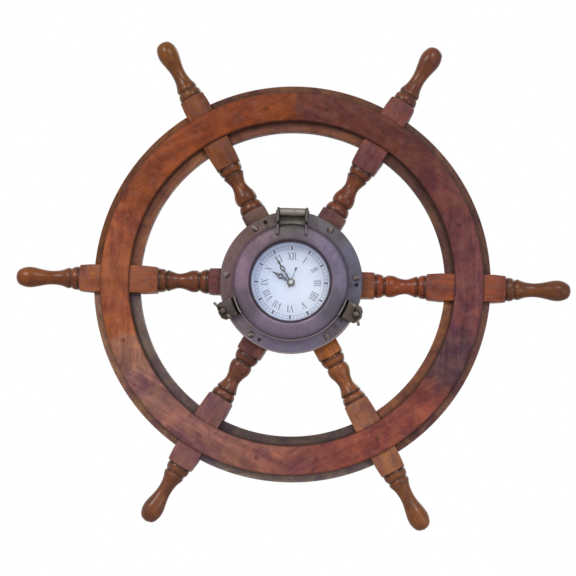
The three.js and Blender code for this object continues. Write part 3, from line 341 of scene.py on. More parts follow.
def patched(at, colour, ripple, patches):
    for x, z, reach, depth, tint in patches:
        away = reckon("ADD", from_axis(at, x, z), ripple)
        colour = blend(between(away, depth, 0.0, reach * 0.55 * mm, reach * mm), colour, (*tint, 1))
    return colour


def board_wood(name, tints, first=0.0, turn=0.0, bloom=0.15, coat_weight=0.0, lift=0.08, shade_rings=(),
               polished=(), paired=False, bands=(), patches=()):
    made, shader, at = start_material(name, {"Coat Weight": coat_weight, "Coat Roughness": 0.3,
                                             "Specular IOR Level": 0.12})
    boards = add_node("Group", {"Vector": at, "First": radians(first)}, node_tree=board_frame)
    grain_at = add_node("Mapping", {"Vector": boards.outputs["Vector"],
                                    "Rotation": (0, radians(turn), 0)})
    out = from_axis(at)
    tint = board_tint(boards, tints, paired)
    for start, end, band_tints in bands:
        tint = blend(within(out, start, end), tint, board_tint(boards, band_tints, paired))
    if patches:
        cloud = noise(at, 90, 4.0, 0.6)
        tint = patched(at, tint, between(cloud, -9 * mm, 9 * mm, 0.3, 0.7), patches)
    wood = add_node("Group", {"Vector": grain_at.outputs[0], "Patch": at, "Tint": tint,
                              "Bloom": bloom}, node_tree=wood_figure).outputs
    colour, gloss = wood["Color"], wood["Roughness"]
    # Painted shade: near-black rings at the given radii, a little darker where the grain runs deep, for
    # the shade in grooves and along edges.
    for radius, reach, depth in shade_rings:
        near = reckon("MULTIPLY", near_ring(out, radius, depth, 0.2, reach),
                      between(wood["Height"], 0.6, 1.2, 0.8, 1.6))
        colour = blend(near, colour, (0.022, 0.012, 0.009, 1))
    varnish = 0.0
    for start, end in polished:
        varnish = reckon("ADD", within(out, start, end), varnish)
    if polished:
        haze = between(noise(at, 130, 4.0, 0.6), 0.0, 0.3, 0.36, 0.62)
        haze = reckon("MULTIPLY", reckon("SUBTRACT", 1.0, varnish), haze)
        colour = blend(haze, colour, (0.165, 0.098, 0.098, 1))
        # Painted shade: the hollows of the varnished turnings, found by their pointiness, are darkened
        # nearly to black.
        hollow_shade = add_node("NewGeometry", {}, at.id_data).outputs["Pointiness"]
        hollow_shade = reckon("MULTIPLY", between(hollow_shade, 0.95, 0.0, 0.462, 0.507), varnish)
        colour = blend(hollow_shade, colour, (0.022, 0.008, 0.005, 1))
        colour = blend(reckon("MULTIPLY", varnish, 0.2), colour, (0.05, 0.014, 0.004, 1))
        gloss = reckon("SUBTRACT", gloss, reckon("MULTIPLY", varnish, 0.2))
        feed(shader, {"Coat Weight": reckon("MULTIPLY", varnish, coat_weight)})
    lay_on(shader, colour, gloss, wood["Height"], lift)
    return made


wheel_depth, hub_radius, pocket_radius, pocket_floor = 36.0, 76.0, 44.2, 14.9
hub = turned("hub_disc", [
    (0, 0), (72.6, 0), (74.6, 0.6), (75.6, 1.6), (hub_radius, 3.2), (hub_radius, 34.6), (75.6, 35.6),
    (74.6, wheel_depth), (pocket_radius + 0.5, wheel_depth), (pocket_radius, wheel_depth - 0.5),
    (pocket_radius, pocket_floor), (0, pocket_floor)], 144)
combine(hub, block("hanger_recess", (-22.1, 0.1, 40.9), (22.1, -2.05, 59.1)))
combine(hub, block("nail_room", (-6.6, 0.1, 40.0), (6.6, -9.0, 57.6)))
hub_wood = board_wood("hub_wood", [(0.150, 0.048, 0.024)], turn=90.0)
dress(hub, hub_wood, "rim_wood", "wheel", "hub")


# Spokes: six handles turned in the lathe from square stock, left square at the hub and where the
# rim boards are let in round them, with a tenon into the hub, and varnished to a gloss.
spoke_middle = wheel_depth / 2
hub_block, rim_block, hub_square, rim_square = (66.0, 91.0), (147.0, 234.0), 28.5, 29.5
handle_end, pommel, corner = 305.0, 5.0, 22.0
shoulder = [(0.2, 14.6), (1.0, 17.2), (2.6, 20.2), (pommel, corner)]
baluster = [(0.0, 12.8), (0.045, 13.4), (0.1, 12.9), (0.15, 11.7), (0.175, 10.5), (0.2, 10.5),
            (0.225, 11.6), (0.28, 12.1), (0.34, 11.9), (0.4, 10.9), (0.48, 9.2), (0.57, 8.2),
            (0.63, 8.4), (0.7, 9.5), (0.78, 11.3), (0.815, 11.7), (0.84, 10.7), (0.87, 12.0),
            (0.93, 13.0), (1.0, 12.8)]
handle = [(0.0, 12.4), (0.04, 12.9), (0.09, 12.4), (0.12, 11.1), (0.14, 10.6), (0.165, 11.4),
          (0.2, 11.0), (0.24, 9.8), (0.3, 8.5), (0.37, 7.8), (0.44, 7.6), (0.52, 8.1), (0.62, 9.5),
          (0.71, 10.9), (0.78, 11.4), (0.84, 11.1), (0.9, 9.9), (0.95, 8.0), (0.982, 5.0), (1.0, 0.0)]


def smooth_run(points, parts=4, closed=False):
    run = []
    count = len(points)
    for i in range(count if closed else count - 1):
        at = [points[j % count] if closed else points[min(max(j, 0), count - 1)]
              for j in (i - 1, i, i + 1, i + 2)]
        a, b, c, d = (Vector(p) for p in at)
        for k in range(parts):
            t = k / parts
            run.append(tuple(0.5 * (2 * b + (c - a) * t + (2 * a - 5 * b + 4 * c - d) * t * t
                                    + (3 * b - a - 3 * c + d) * t ** 3)))
    return run if closed else run + [tuple(points[-1])]


def along(stations, start, end):
    return [(start + (end - start) * share, max(radius, 0.0)) for share, radius in smooth_run(stations)]


def turned_across(name, outline, depth, height, steps):
    return spin_up(name, [(x, -depth, height + radius) for x, radius in outline],
                   (0, -depth, height), (1, 0, 0), steps)


def ease_edges(piece, width, segments=3, sharper_than=35):
    take_up(piece)
    bpy.ops.object.modifier_add(type="BEVEL")
    ease = piece.modifiers[-1]
    ease.width, ease.segments = width * mm, segments
    ease.limit_method, ease.angle_limit = "ANGLE", radians(sharper_than)
    bpy.ops.object.modifier_apply(modifier=ease.name)


def turn_round(piece, degrees):
    piece.data.transform(Matrix.Rotation(-radians(degrees), 4, "Y"))


def copy_turned(piece, name, degrees):
    twin = piece.copy()
    twin.data = piece.data.copy()
    twin.name = twin.data.name = name
    scene.collection.objects.link(twin)
    turn_round(twin, degrees)
    return twin


def set_six(piece, name, material, slot, node):
    for place in range(6):
        one = copy_turned(piece, f"{name}_{place + 1}", 60 * place)
        dress(one, material, slot, "wheel", f"{node}_{place + 1}")
    bpy.data.objects.remove(piece)


spoke_line = [(hub_block[0], 0.0), (hub_block[0], corner)]
spoke_line += [(hub_block[1] - back, radius) for back, radius in reversed(shoulder)]
spoke_line += along(baluster, hub_block[1], rim_block[0])
spoke_line += [(rim_block[0] + on, radius) for on, radius in shoulder]
spoke_line += [(rim_block[1] - back, radius) for back, radius in reversed(shoulder)]
spoke_line += along(handle, rim_block[1], handle_end)
spoke = turned_across("spoke_turning", spoke_line, spoke_middle, 0.0, 48)
half_hub, half_rim = hub_square / 2, rim_square / 2
end_half, stock_start, stock_end = half_rim - 1.1, 60.0, 310.0
stock = spin_up("spoke_stock", [(x, -spoke_middle - half, half) for x, half in (
    (stock_start, 0.0), (stock_start, half_hub), (hub_block[1], half_hub - 0.4), (120.0, half_hub),
    (rim_block[0], end_half), (rim_block[0] + 15.0, half_rim), (rim_block[1] - 13.0, half_rim),
    (rim_block[1], end_half), (stock_end, end_half), (stock_end, 0.0))],
    (0, -spoke_middle, 0), (1, 0, 0), 4)
combine(spoke, stock, "INTERSECT")
combine(spoke, block("spoke_tenon", (55.0, -8.0, -10.0), (70.0, -28.0, 10.0)), "UNION")
ease_edges(spoke, 0.7, 2, 50)
baluster_tints = [
    (0.225, 0.044, 0.010), (0.178, 0.045, 0.016), (0.150, 0.040, 0.007),
    (0.138, 0.036, 0.011), (0.162, 0.050, 0.025), (0.252, 0.081, 0.023)]
hub_block_tints = [
    (0.190, 0.058, 0.020), (0.098, 0.040, 0.034), (0.115, 0.066, 0.055),
    (0.108, 0.034, 0.036), (0.140, 0.046, 0.036), (0.380, 0.125, 0.024)]
rim_block_tints = [
    (0.214, 0.051, 0.020), (0.135, 0.037, 0.031), (0.164, 0.047, 0.012),
    (0.267, 0.080, 0.031), (0.194, 0.080, 0.077), (0.299, 0.115, 0.050)]
handle_tints = [
    (0.130, 0.040, 0.011), (0.155, 0.041, 0.014), (0.181, 0.058, 0.008),
    (0.193, 0.052, 0.009), (0.155, 0.052, 0.024), (0.197, 0.067, 0.021)]
# Painted shade in the grooves of the turnings: radius, reach and depth of each dark ring.
turned_grooves = ((hub_block[1] + 2.4, 2.3, 0.75), (101.4, 1.9, 0.7), (136.2, 2.4, 0.7),
                  (rim_block[0] - 1.6, 2.3, 0.75), (rim_block[1] + 1.4, 1.9, 0.65), (243.6, 1.8, 0.5))
spoke_gloss = board_wood(
    "spoke_varnish", baluster_tints, bloom=0.06, coat_weight=0.26, lift=0.03, shade_rings=turned_grooves,
    polished=((hub_block[1], rim_block[0]), (rim_block[1], handle_end)),
    bands=((50.0, hub_block[1], hub_block_tints), (*rim_block, rim_block_tints),
           (rim_block[1], handle_end + 5, handle_tints)))
set_six(spoke, "spoke_turned", spoke_gloss, "spoke_wood", "spoke")


# Rim core: six boards sawn to the curve, each filling the space between two spokes and glued to
# their square blocks. Their edges show as a ledge inside and outside the facings.
core_inner, core_outer, core_back, core_front = 167.5, 217.5, 9.0, 27.0
facing_inner, rim_middle, facing_outer = 178.0, 194.0, 210.0


def curved_board(name, section, first, last, steps):
    start = radians(first)
    piece = draw_line(name, [(radius * cos(start), -depth, radius * sin(start))
                             for radius, depth in section + section[:1]])
    fill_in()
    bpy.ops.mesh.spin(steps=steps, angle=radians(last - first), center=(0, 0, 0), axis=(0, 1, 0))
    close_up()
    return piece


def saw_off(piece, through, away):
    take_up(piece)
    bpy.ops.object.mode_set(mode="EDIT")
    bpy.ops.mesh.select_all(action="SELECT")
    bpy.ops.mesh.bisect(plane_co=Vector(through) * mm, plane_no=away, use_fill=True, clear_outer=True)
    close_up()


felloe = curved_board("felloe_board", [(core_inner, core_back), (core_outer, core_back),
                                       (core_outer, core_front), (core_inner, core_front)], 2, 58, 40)
saw_off(felloe, (0, 0, half_rim), (0, 0, -1))
lean = radians(60)
saw_off(felloe, (half_rim * sin(lean), 0, -half_rim * cos(lean)), (-sin(lean), 0, cos(lean)))
ease_edges(felloe, 1.0)
# The ledge tints hold each board's colour and also painted light and shade: the outer and inner ledges
# of one board are painted lighter or darker by how the light falls on them.
outer_ledge_tints = [
    (0.105, 0.050, 0.038), (0.110, 0.046, 0.025), (0.135, 0.048, 0.017),
    (0.240, 0.130, 0.090), (0.195, 0.144, 0.136), (0.190, 0.092, 0.068)]
inner_ledge_tints = [
    (0.100, 0.048, 0.036), (0.150, 0.058, 0.038), (0.225, 0.090, 0.056),
    (0.118, 0.084, 0.082), (0.074, 0.050, 0.048), (0.195, 0.076, 0.040)]
# Painted shadow: dark rings on the ledges next to the facings' inner and outer edges, where the facings
# shade them.
felloe_wood = board_wood("felloe_wood", outer_ledge_tints, 30.0, 90.0, 0.2,
                         shade_rings=((facing_inner, 3.0, 0.65), (facing_outer, 2.0, 0.4)),
                         bands=((150.0, rim_middle, inner_ledge_tints),))
set_six(felloe, "felloe", felloe_wood, "rim_wood", "rim_felloe")


# Rear facing: one flat ring of wood glued over the back of the core, notched over the spokes and
# rounded on its two back edges, so that the wheel stands flat on the wall.
facing_round, notch_start, notch_end = 2.5, 170.0, 215.0
rear_ring = turned_ring("rear_ring", [
    (facing_inner, core_back), (facing_inner, facing_round), (facing_inner + 0.7, 0.7),
    (facing_inner + facing_round, 0), (facing_outer - facing_round, 0), (facing_outer - 0.7, 0.7),
    (facing_outer, facing_round), (facing_outer, core_back)], 180)
notch_back = spoke_middle - half_rim
for place in range(6):
    notch = block("notch", (notch_start, -notch_back, -half_rim), (notch_end, -12.0, half_rim))
    turn_round(notch, 60 * place)
    combine(rear_ring, notch)
rear_wood = board_wood("rear_facing_wood", [
    (0.150, 0.050, 0.034), (0.135, 0.044, 0.028), (0.170, 0.052, 0.024),
    (0.175, 0.056, 0.028), (0.160, 0.060, 0.042), (0.150, 0.048, 0.032)], 0.0, 90.0)
dress(rear_ring, rear_wood, "rim_wood", "wheel", "rear_facing_ring")


# Front facings: six curved boards, one over each spoke, butted midway between the spokes, with
# softly rounded edges. Each is a different piece of the stained wood.
notch_front, half_board, joint_gap = spoke_middle + half_rim, radians(30), 0.02
rounding = [(0.0, facing_round), (0.35, 1.2), (1.2, 0.35), (facing_round, 0.0)]
facing = curved_board("facing_board", [(facing_inner, core_front), (facing_outer, core_front)]
                      + [(facing_outer - on, wheel_depth - down) for on, down in rounding]
                      + [(facing_inner + on, wheel_depth - down) for on, down in rounding[::-1]],
                      -31, 31, 44)
for side in (1, -1):
    saw_off(facing, (joint_gap * sin(half_board), 0, -joint_gap * side * cos(half_board)),
            (-sin(half_board), 0, side * cos(half_board)))
combine(facing, block("notch", (notch_start, -20.0, -half_rim), (notch_end, -notch_front, half_rim)))
facing_tints = [
    (0.145, 0.048, 0.050), (0.095, 0.026, 0.020), (0.195, 0.045, 0.013),
    (0.275, 0.078, 0.035), (0.235, 0.100, 0.088), (0.208, 0.057, 0.041)]
stain_patches = (
    (176.0, -82.0, 42.0, 0.85, (0.072, 0.038, 0.046)),
    (-174.0, -86.0, 32.0, 0.7, (0.270, 0.145, 0.110)),
    (-146.0, -128.0, 26.0, 0.6, (0.165, 0.085, 0.082)),
    (-168.0, 97.0, 34.0, 0.65, (0.170, 0.042, 0.014)),
    (-194.0, 2.0, 28.0, 0.65, (0.200, 0.064, 0.032)),
    (-20.0, 193.0, 28.0, 0.6, (0.140, 0.036, 0.012)))
# Painted shade: dark rings along the facings' rounded inner and outer edges.
facing_wood = board_wood("facing_wood", facing_tints, 0.0, 90.0, 0.2, paired=True,
                         patches=stain_patches,
                         shade_rings=((facing_inner, 2.4, 0.55), (facing_outer, 1.8, 0.3)))
set_six(facing, "facing", facing_wood, "rim_wood", "front_facing")


# Plugs: short dowels glued over the screws that hold each facing down, pared almost flush, so
# that their end grain shows as small spots, a little darker than the board.
plug_radius, plug_depth, plug_shade = 2.7, 3.0, 0.68


def move_round(piece, circle, degrees):
    turn = radians(degrees)
    piece.data.transform(Matrix.Translation((circle * mm * cos(turn), 0, circle * mm * sin(turn))))


plug = turned("plug", [(0, wheel_depth - plug_depth), (plug_radius, wheel_depth - plug_depth),
                       (plug_radius, wheel_depth - 0.1), (plug_radius - 0.3, wheel_depth + 0.06),
                       (plug_radius * 0.5, wheel_depth + 0.14), (0, wheel_depth + 0.16)], 24)
move_round(plug, rim_middle, 0.0)
plug_tints = [tuple(plug_shade * share for share in tint) for tint in facing_tints]
plug_wood = board_wood("plug_end_grain", plug_tints, turn=30.0, paired=True)
for place in range(6):
    for step, offset in enumerate((-20.0, 0.5, 20.5)):
        one = copy_turned(plug, f"plug_{place + 1}_{step + 1}", 60 * place + offset)
        dress(one, plug_wood, "rim_wood", "wheel")
bpy.data.objects.remove(plug)


# Hanger: a small plate of zinc plated steel let into the back of the hub, punched with a keyhole
# that drops over a screw head in the wall.
plate_half, plate_height, plate_middle, plate_thick = 22.0, 18.0, 50.0, 2.0
corner_round, entry_radius, entry_height, slot_half, slot_top = 4.0, 4.6, 46.0, 2.6, 54.0


def arc(x, z, radius, first, last, steps):
    turns = [radians(first + (last - first) * step / steps) for step in range(steps + 1)]
    return [(x + radius * cos(turn), z + radius * sin(turn)) for turn in turns]


def sawn(name, outline, back, front):
    return cut_plate(name, [(x, -back, z) for x, z in outline], (0, back - front, 0))


plate_line = []
for side_x, side_z, first in ((1, 1, 0), (-1, 1, 90), (-1, -1, 180), (1, -1, 270)):
    plate_line += arc(side_x * (plate_half - corner_round),
                      plate_middle + side_z * (plate_height / 2 - corner_round),
                      corner_round, first, first + 90, 6)
hanger = sawn("hanger", plate_line, 0.0, plate_thick)
ease_edges(hanger, 0.25, 2)
sink = asin(slot_half / entry_radius) * 180 / pi
keyhole = arc(0, slot_top, slot_half, 0, 180, 24)
keyhole += arc(0, entry_height, entry_radius, 90 + sink, 450 - sink, 32)
combine(hanger, sawn("keyhole", keyhole, -1.0, plate_thick + 2.0))


def worked_metal(name, tints, lines, rough, lift=0.02):
    made, shader, at = start_material(name, {"Metallic": 1.0})
    cloud = noise(at, 55, 5.0, 0.6, 0.4)
    fine = noise(at, lines, 3.0, 0.6)
    colour = blend(between(cloud, 0.0, 1.0, 0.34, 0.66), (*tints[0], 1), (*tints[1], 1))
    colour = blend(between(fine, 0.0, 0.6, 0.5, 0.72), colour, (*tints[2], 1))
    mixed = reckon("ADD", reckon("MULTIPLY", cloud, 0.6), reckon("MULTIPLY", fine, 0.4))
    lay_on(shader, colour, between(mixed, *rough, 0.3, 0.7), fine, lift)
    return made


zinc = worked_metal("zinc_plate", [(0.42, 0.42, 0.40), (0.55, 0.55, 0.53), (0.34, 0.33, 0.30)],
                    (60, 900, 900), (0.28, 0.46))
dress(hanger, zinc, "plated_steel", "wheel", "hanger_plate")


# Porthole base: a brass casting with a dark copper finish, screwed to the hub. It is a flat flange
# with a raised collar, two lugs for the wing screws and the hinge knuckle at the top.
flange_radius, flange_front, collar_radius, collar_front, base_bore = 78.0, 41.5, 52.0, 44.6, 46.5
lug_circle, lug_radius, right_lug, left_lug = 80.0, 6.0, -25.0, 205.0
hinge_height, hinge_depth, knuckle_radius, knuckle_half = 76.0, 47.5, 4.6, 14.0
screw_circle, wing_hole, spare_hole, spare_depth = 71.5, 3.3, 2.2, 5.0
base = turned_ring("base_casting", [
    (base_bore, wheel_depth), (flange_radius - 0.4, wheel_depth), (flange_radius, wheel_depth + 0.5),
    (flange_radius, flange_front - 2.0), (flange_radius - 0.3, flange_front - 1.0),
    (flange_radius - 0.9, flange_front - 0.3), (flange_radius - 2.0, flange_front),
    (collar_radius + 1.2, flange_front), (collar_radius + 0.35, flange_front + 0.35),
    (collar_radius, flange_front + 1.2), (collar_radius, collar_front - 0.4),
    (collar_radius - 0.4, collar_front), (base_bore + 0.4, collar_front),
    (base_bore, collar_front - 0.4)], 160)


def drill(piece, circle, degrees, radius, back, front):
    hole = turned("hole", [(0, back), (radius, back), (radius, front), (0, front)], 32)
    move_round(hole, circle, degrees)
    combine(piece, hole)


lug_line = [(56.0, -6.0)] + arc(lug_circle, 0.0, lug_radius, -82, 82, 24) + [(56.0, 6.0)]
for degrees in (right_lug, left_lug):
    lug = sawn("lug", lug_line, wheel_depth + 0.001, flange_front - 0.02)
    ease_edges(lug, 1.1, 4)
    turn_round(lug, degrees)
    combine(base, lug, "UNION")
    drill(base, lug_circle, degrees, wing_hole, wheel_depth - 1.0, flange_front + 1.0)
for degrees in (-0.8, 114.8, 243.0):
    drill(base, screw_circle, degrees, spare_hole, flange_front - spare_depth, flange_front + 1.0)
knuckle = turned_across("knuckle", (
    (-knuckle_half, 0.0), (-knuckle_half, 4.1), (-knuckle_half + 0.5, knuckle_radius),
    (knuckle_half - 0.5, knuckle_radius), (knuckle_half, 4.1), (knuckle_half, 0.0)),
    hinge_depth, hinge_height, 40)
foot = block("knuckle_foot", (-knuckle_half + 0.02, -wheel_depth - 2.0, hinge_height - 4.5),
             (knuckle_half - 0.02, -hinge_depth, hinge_height + 4.5))
ease_edges(foot, 0.6, 2)
combine(knuckle, foot, "UNION")

# The copper finish: a purple brown bath colour over the casting, clouded, browned in patches and
# rubbed brighter along its edges, with a soft satin skin.
copper_skin, given, made = group_of(
    "copper_skin", {"Vector": "Vector", "Body": "Color", "Shadow": "Color", "Rubbed": "Color",
                    "Wear": "Float"}, {"Color": "Color", "Roughness": "Float", "Height": "Float"})
cloud = noise(given["Vector"], 34, 4.0, 0.55, 0.6)
mottle = noise(given["Vector"], (170, 170, 120), 5.0, 0.62, 0.3)
grit = noise(given["Vector"], 1500, 3.0, 0.6)
skin = blend(between(cloud, 0.0, 0.75, 0.38, 0.7), given["Body"], given["Shadow"])
skin = blend(between(mottle, 0.0, 0.8, 0.5, 0.7), skin, given["Shadow"])
skin = blend(between(mottle, 0.05, 0.0, 0.34, 0.46), skin, given["Rubbed"])
edge = add_node("NewGeometry", {}, copper_skin).outputs["Pointiness"]
edge = reckon("MULTIPLY", between(edge, 0.0, 1.0, 0.52, 0.6), between(mottle, 0.35, 1.0, 0.3, 0.6))
skin = blend(reckon("MULTIPLY", edge, given["Wear"]), skin, given["Rubbed"])
feed(made, {"Color": skin, "Height": reckon("ADD", grit, mottle),
            "Roughness": between(reckon("ADD", cloud, mottle), 0.5, 0.68, 0.75, 1.25)})


def cast_metal(name, body, shadow, rubbed, wear=0.8, lift=0.05, tone_light_and_shade_patches=(), rings=()):
    made, shader, at = start_material(name, {"Metallic": 1.0})
    skin = add_node("Group", {"Vector": at, "Body": (*body, 1), "Shadow": (*shadow, 1),
                              "Rubbed": (*rubbed, 1), "Wear": wear},
                    node_tree=copper_skin).outputs
    colour = skin["Color"]
    # Patches of the finish's own tone, some of them painted light and shade, as told where each list is
    # given.
    if tone_light_and_shade_patches:
        ripple = between(skin["Height"], -2 * mm, 2 * mm, 0.6, 1.4)
        colour = patched(at, colour, ripple, tone_light_and_shade_patches)
    # Painted light and shade: a ring at each given radius, only below the given height, for a painted
    # highlight along a lower edge or a painted shadow round an edge.
    for radius, reach, depth, tint, height in rings:
        level = add_node("SeparateXYZ", {0: at}).outputs["Z"]
        below = between(level, 1.0, 0.0, height * mm, (height + 40) * mm)
        near = near_ring(from_axis(at), radius, depth, reach * 0.5, reach)
        colour = blend(reckon("MULTIPLY", near, below), colour, (*tint, 1))
    lay_on(shader, colour, skin["Roughness"], skin["Height"], lift)
    return made


# Flange patches: tone in the finish, and two of painted light: the bluish patch on the right is a
# painted reflection of a cool sky, and the bright patch under the knuckle is painted light in the
# knuckle's shade. The ring is a painted highlight along the flange's lower rim.
flange_tone_and_light_patches = (
    (60.0, 20.0, 75.0, 0.7, (0.092, 0.090, 0.132)),
    (40.0, 66.0, 36.0, 0.6, (0.078, 0.068, 0.064)),
    (-33.6, 63.0, 28.0, 0.75, (0.070, 0.050, 0.040)),
    (0.0, 69.0, 18.0, 0.8, (0.190, 0.165, 0.140)),
    (-48.0, -53.0, 22.0, 0.75, (0.170, 0.132, 0.160)),
    (0.0, -76.0, 50.0, 0.6, (0.165, 0.140, 0.215)),
    (-66.0, 20.0, 60.0, 0.7, (0.100, 0.058, 0.054)))
base_copper = cast_metal("flange_copper", (0.125, 0.104, 0.130), (0.082, 0.062, 0.056),
                         (0.46, 0.38, 0.34), 0.8, 0.05, flange_tone_and_light_patches,
                         ((77.4, 1.0, 0.55, (0.55, 0.46, 0.44), -45.0),))
dress(base, base_copper, "porthole_metal", "wheel", "porthole_base")
knuckle_copper = cast_metal("knuckle_copper", (0.088, 0.082, 0.072), (0.046, 0.042, 0.036),
                            (0.30, 0.27, 0.23), 1.0)
dress(knuckle, knuckle_copper, "porthole_metal", "wheel")


# Flange screws: six round headed slotted screws with a dark finish, driven through the flange
# into the hub, each left with its slot at its own angle.
head_radius, head_height, head_edge = 3.7, 2.0, 0.35
head_curve = [(head_radius * cos(radians(t)),
               flange_front + head_edge + (head_height - head_edge) * sin(radians(t)))
              for t in (15, 30, 45, 60, 75)]
screw = turned("screw", [(0, 30.0), (1.2, 30.6), (1.9, 32.2), (1.9, flange_front),
                         (head_radius, flange_front), (head_radius, flange_front + head_edge)]
               + head_curve + [(0, flange_front + head_height)], 40)
combine(screw, block("screw_slot", (-5.0, -flange_front - 1.05, -0.5), (5.0, -flange_front - 3.0, 0.5)))
ease_edges(screw, 0.12, 2, 50)
screw_metal = cast_metal("screw_finish", (0.115, 0.096, 0.092), (0.050, 0.040, 0.037),
                         (0.40, 0.34, 0.31), 0.9)
for number, (bearing, slot_turn) in enumerate(((5.4, 20), (54.6, 75), (125.4, -30), (174.6, 48),
                                               (234.6, 8), (305.4, 112))):
    one = copy_turned(screw, f"screw_{number + 1}", slot_turn)
    move_round(one, screw_circle, bearing)
    dress(one, screw_metal, "fastener_metal", "wheel", f"flange_screw_{number + 1}")
bpy.data.objects.remove(screw)


# Door seal: a ring of black rubber cord, moulded with a flat foot and glued on the collar, which
# the door closes on.
seal = turned_ring("seal_ring", [
    (48.1, collar_front), (50.4, collar_front), (50.75, collar_front + 0.35),
    (50.55, collar_front + 0.8), (50.0, 45.6), (48.5, 45.6), (47.95, collar_front + 0.8),
    (47.75, collar_front + 0.35)])
rubber, shader, at = start_material("seal_rubber", {})
dust = noise(at, 300, 5.0, 0.65)
black = blend(between(dust, 0.0, 1.0, 0.4, 0.8), (0.012, 0.012, 0.013, 1), (0.05, 0.048, 0.046, 1))
lay_on(shader, black, between(dust, 0.55, 0.8), dust, 0.03)
dress(seal, rubber, "seal_rubber", "wheel", "door_seal")


# Door: a domed brass ring cast with two hinge cheeks at the top and two ears at the sides, in the
# same dark copper finish. A narrow bead runs round its rim and round the glass.
door_radius, door_back, door_bore, lip_back = 64.0, 42.0, 47.9, 52.8
dome = smooth_run([(63.1, 48.0), (62.6, 50.4), (61.0, 52.6), (58.4, 54.1), (55.0, 55.1),
                   (51.4, 55.8), (48.2, 56.2), (46.4, 56.1), (45.3, 55.5), (44.8, 54.6)], 3)
door = turned_ring("door_casting", [
    (42.5, lip_back), (door_bore, lip_back), (door_bore, 45.9), (52.8, 45.9), (52.8, door_back),
    (door_radius - 0.5, door_back), (door_radius, door_back + 0.5), (door_radius, 46.2),
    (door_radius - 0.25, 46.9), (door_radius - 0.8, 47.2)] + dome + [
    (44.5, 54.0), (44.0, 54.1), (43.4, 54.3), (42.8, 54.1), (42.5, 53.6)], 176)
ear_back, ear_front, ear_half, ear_start, ear_end, ear_corner = 42.7, 49.3, 10.0, 57.4, 85.0, 4.0
ear_line = [(ear_start, -ear_half), (ear_end - ear_corner, -ear_half), (ear_end, ear_corner - ear_half),
            (ear_end, ear_half - ear_corner), (ear_end - ear_corner, ear_half), (ear_start, ear_half)]
for degrees in (right_lug, left_lug):
    ear = sawn("ear", ear_line, ear_back, ear_front)
    ease_edges(ear, 0.9)
    combine(ear, block("ear_groove", (64.6, -ear_front + 3.6, -12.0), (66.8, -ear_front - 1.0, 12.0)))
    turn_round(ear, degrees)
    combine(door, ear, "UNION")
    drill(door, lug_circle, degrees, wing_hole, ear_back - 2.0, ear_front + 2.0)
cheek_radius, cheek_inside, cheek_thick = 5.4, 14.25, 2.6
cheek_line = [(50.0, 50.0), (57.2, 50.0), (58.3, 52.0)]
cheek_line += arc(hinge_depth, hinge_height, cheek_radius, 10, 180, 17) + [(42.5, 58.6)]
for side in (-1, 1):
    cheek = cut_plate("cheek", [(side * cheek_inside, -depth, z) for depth, z in cheek_line],
                      (side * cheek_thick, 0, 0))
    ease_edges(cheek, 0.5)
    combine(door, cheek, "UNION")
ear_x, ear_z = lug_circle * cos(radians(right_lug)), lug_circle * sin(radians(right_lug))
# Door patches: painted shade with some tarnish round the two ears and the wing screws, a darker top and
# a lighter, bluer bottom, and tone in the finish.
door_tone_and_shade_patches = (
    (48.0, 10.0, 60.0, 0.5, (0.140, 0.128, 0.190)),
    (-52.0, 12.0, 56.0, 0.55, (0.178, 0.114, 0.158)),
    (0.0, -56.0, 56.0, 0.6, (0.185, 0.142, 0.205)),
    (0.0, 60.0, 46.0, 0.6, (0.098, 0.074, 0.090)),
    (-28.0, 44.0, 34.0, 0.5, (0.084, 0.064, 0.066)),
    (41.0, 32.0, 30.0, 0.4, (0.104, 0.080, 0.116)),
    (46.0, -25.0, 25.0, 0.6, (0.074, 0.068, 0.080)),
    (-47.0, -25.0, 22.0, 0.6, (0.080, 0.068, 0.080)),
    (-ear_x, ear_z, 22.0, 0.9, (0.052, 0.046, 0.038)),
    (ear_x, ear_z, 22.0, 0.88, (0.086, 0.064, 0.046)),
    (0.0, 73.0, 29.0, 0.9, (0.066, 0.062, 0.056)))
# Painted shadow round the door's outer edge and round the inner lip, and a painted highlight along the
# lower part of the rim's bead.
door_rings = (
    (65.7, 2.6, 0.95, (0.010, 0.009, 0.007), 100.0),
    (43.6, 2.2, 0.8, (0.045, 0.036, 0.046), 100.0),
    (63.7, 0.7, 0.7, (0.58, 0.48, 0.50), -45.0))
door_copper = cast_metal("door_copper", (0.145, 0.112, 0.160), (0.108, 0.082, 0.102),
                         (0.50, 0.42, 0.42), 0.7, 0.03, door_tone_and_shade_patches, door_rings)
dress(door, door_copper, "porthole_metal", "door", "porthole_door")


# Glass: a flat round pane dropped into the door from behind, clear with a faint green edge and a
# little dust, and the threaded ring that holds it.
glass, shader, at = start_material("clear_pane", {"Transmission Weight": 1.0, "IOR": 1.45})
smear = noise(at, (40, 40, 90), 4.0, 0.6, 0.5)
lay_on(shader, blend(smear, (0.985, 0.992, 0.99, 1), (0.965, 0.975, 0.975, 1)),
       between(smear, 0.0, 0.05, 0.4, 0.8))


def paint_node(node, material):
    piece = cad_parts[node]
    piece.data.materials.clear()
    piece.data.materials.append(material)


paint_node("door_glass", glass)
ring_bore, ring_back, ring_front, knurl = 43.2, 47.8, 50.0, 0.35
retainer = turned_ring("glass_ring", [(ring_bore, ring_back), (ring_bore + 0.4, ring_back)] + [
    (43.9 + 0.55 * k, ring_back + knurl * (k % 2)) for k in range(6)] + [
    (47.2, ring_back), (47.6, 48.2), (47.6, 49.7), (47.3, ring_front), (43.5, ring_front),
    (ring_bore, 49.7)])
dress(retainer, door_copper, "porthole_metal", "door", "glass_retainer")


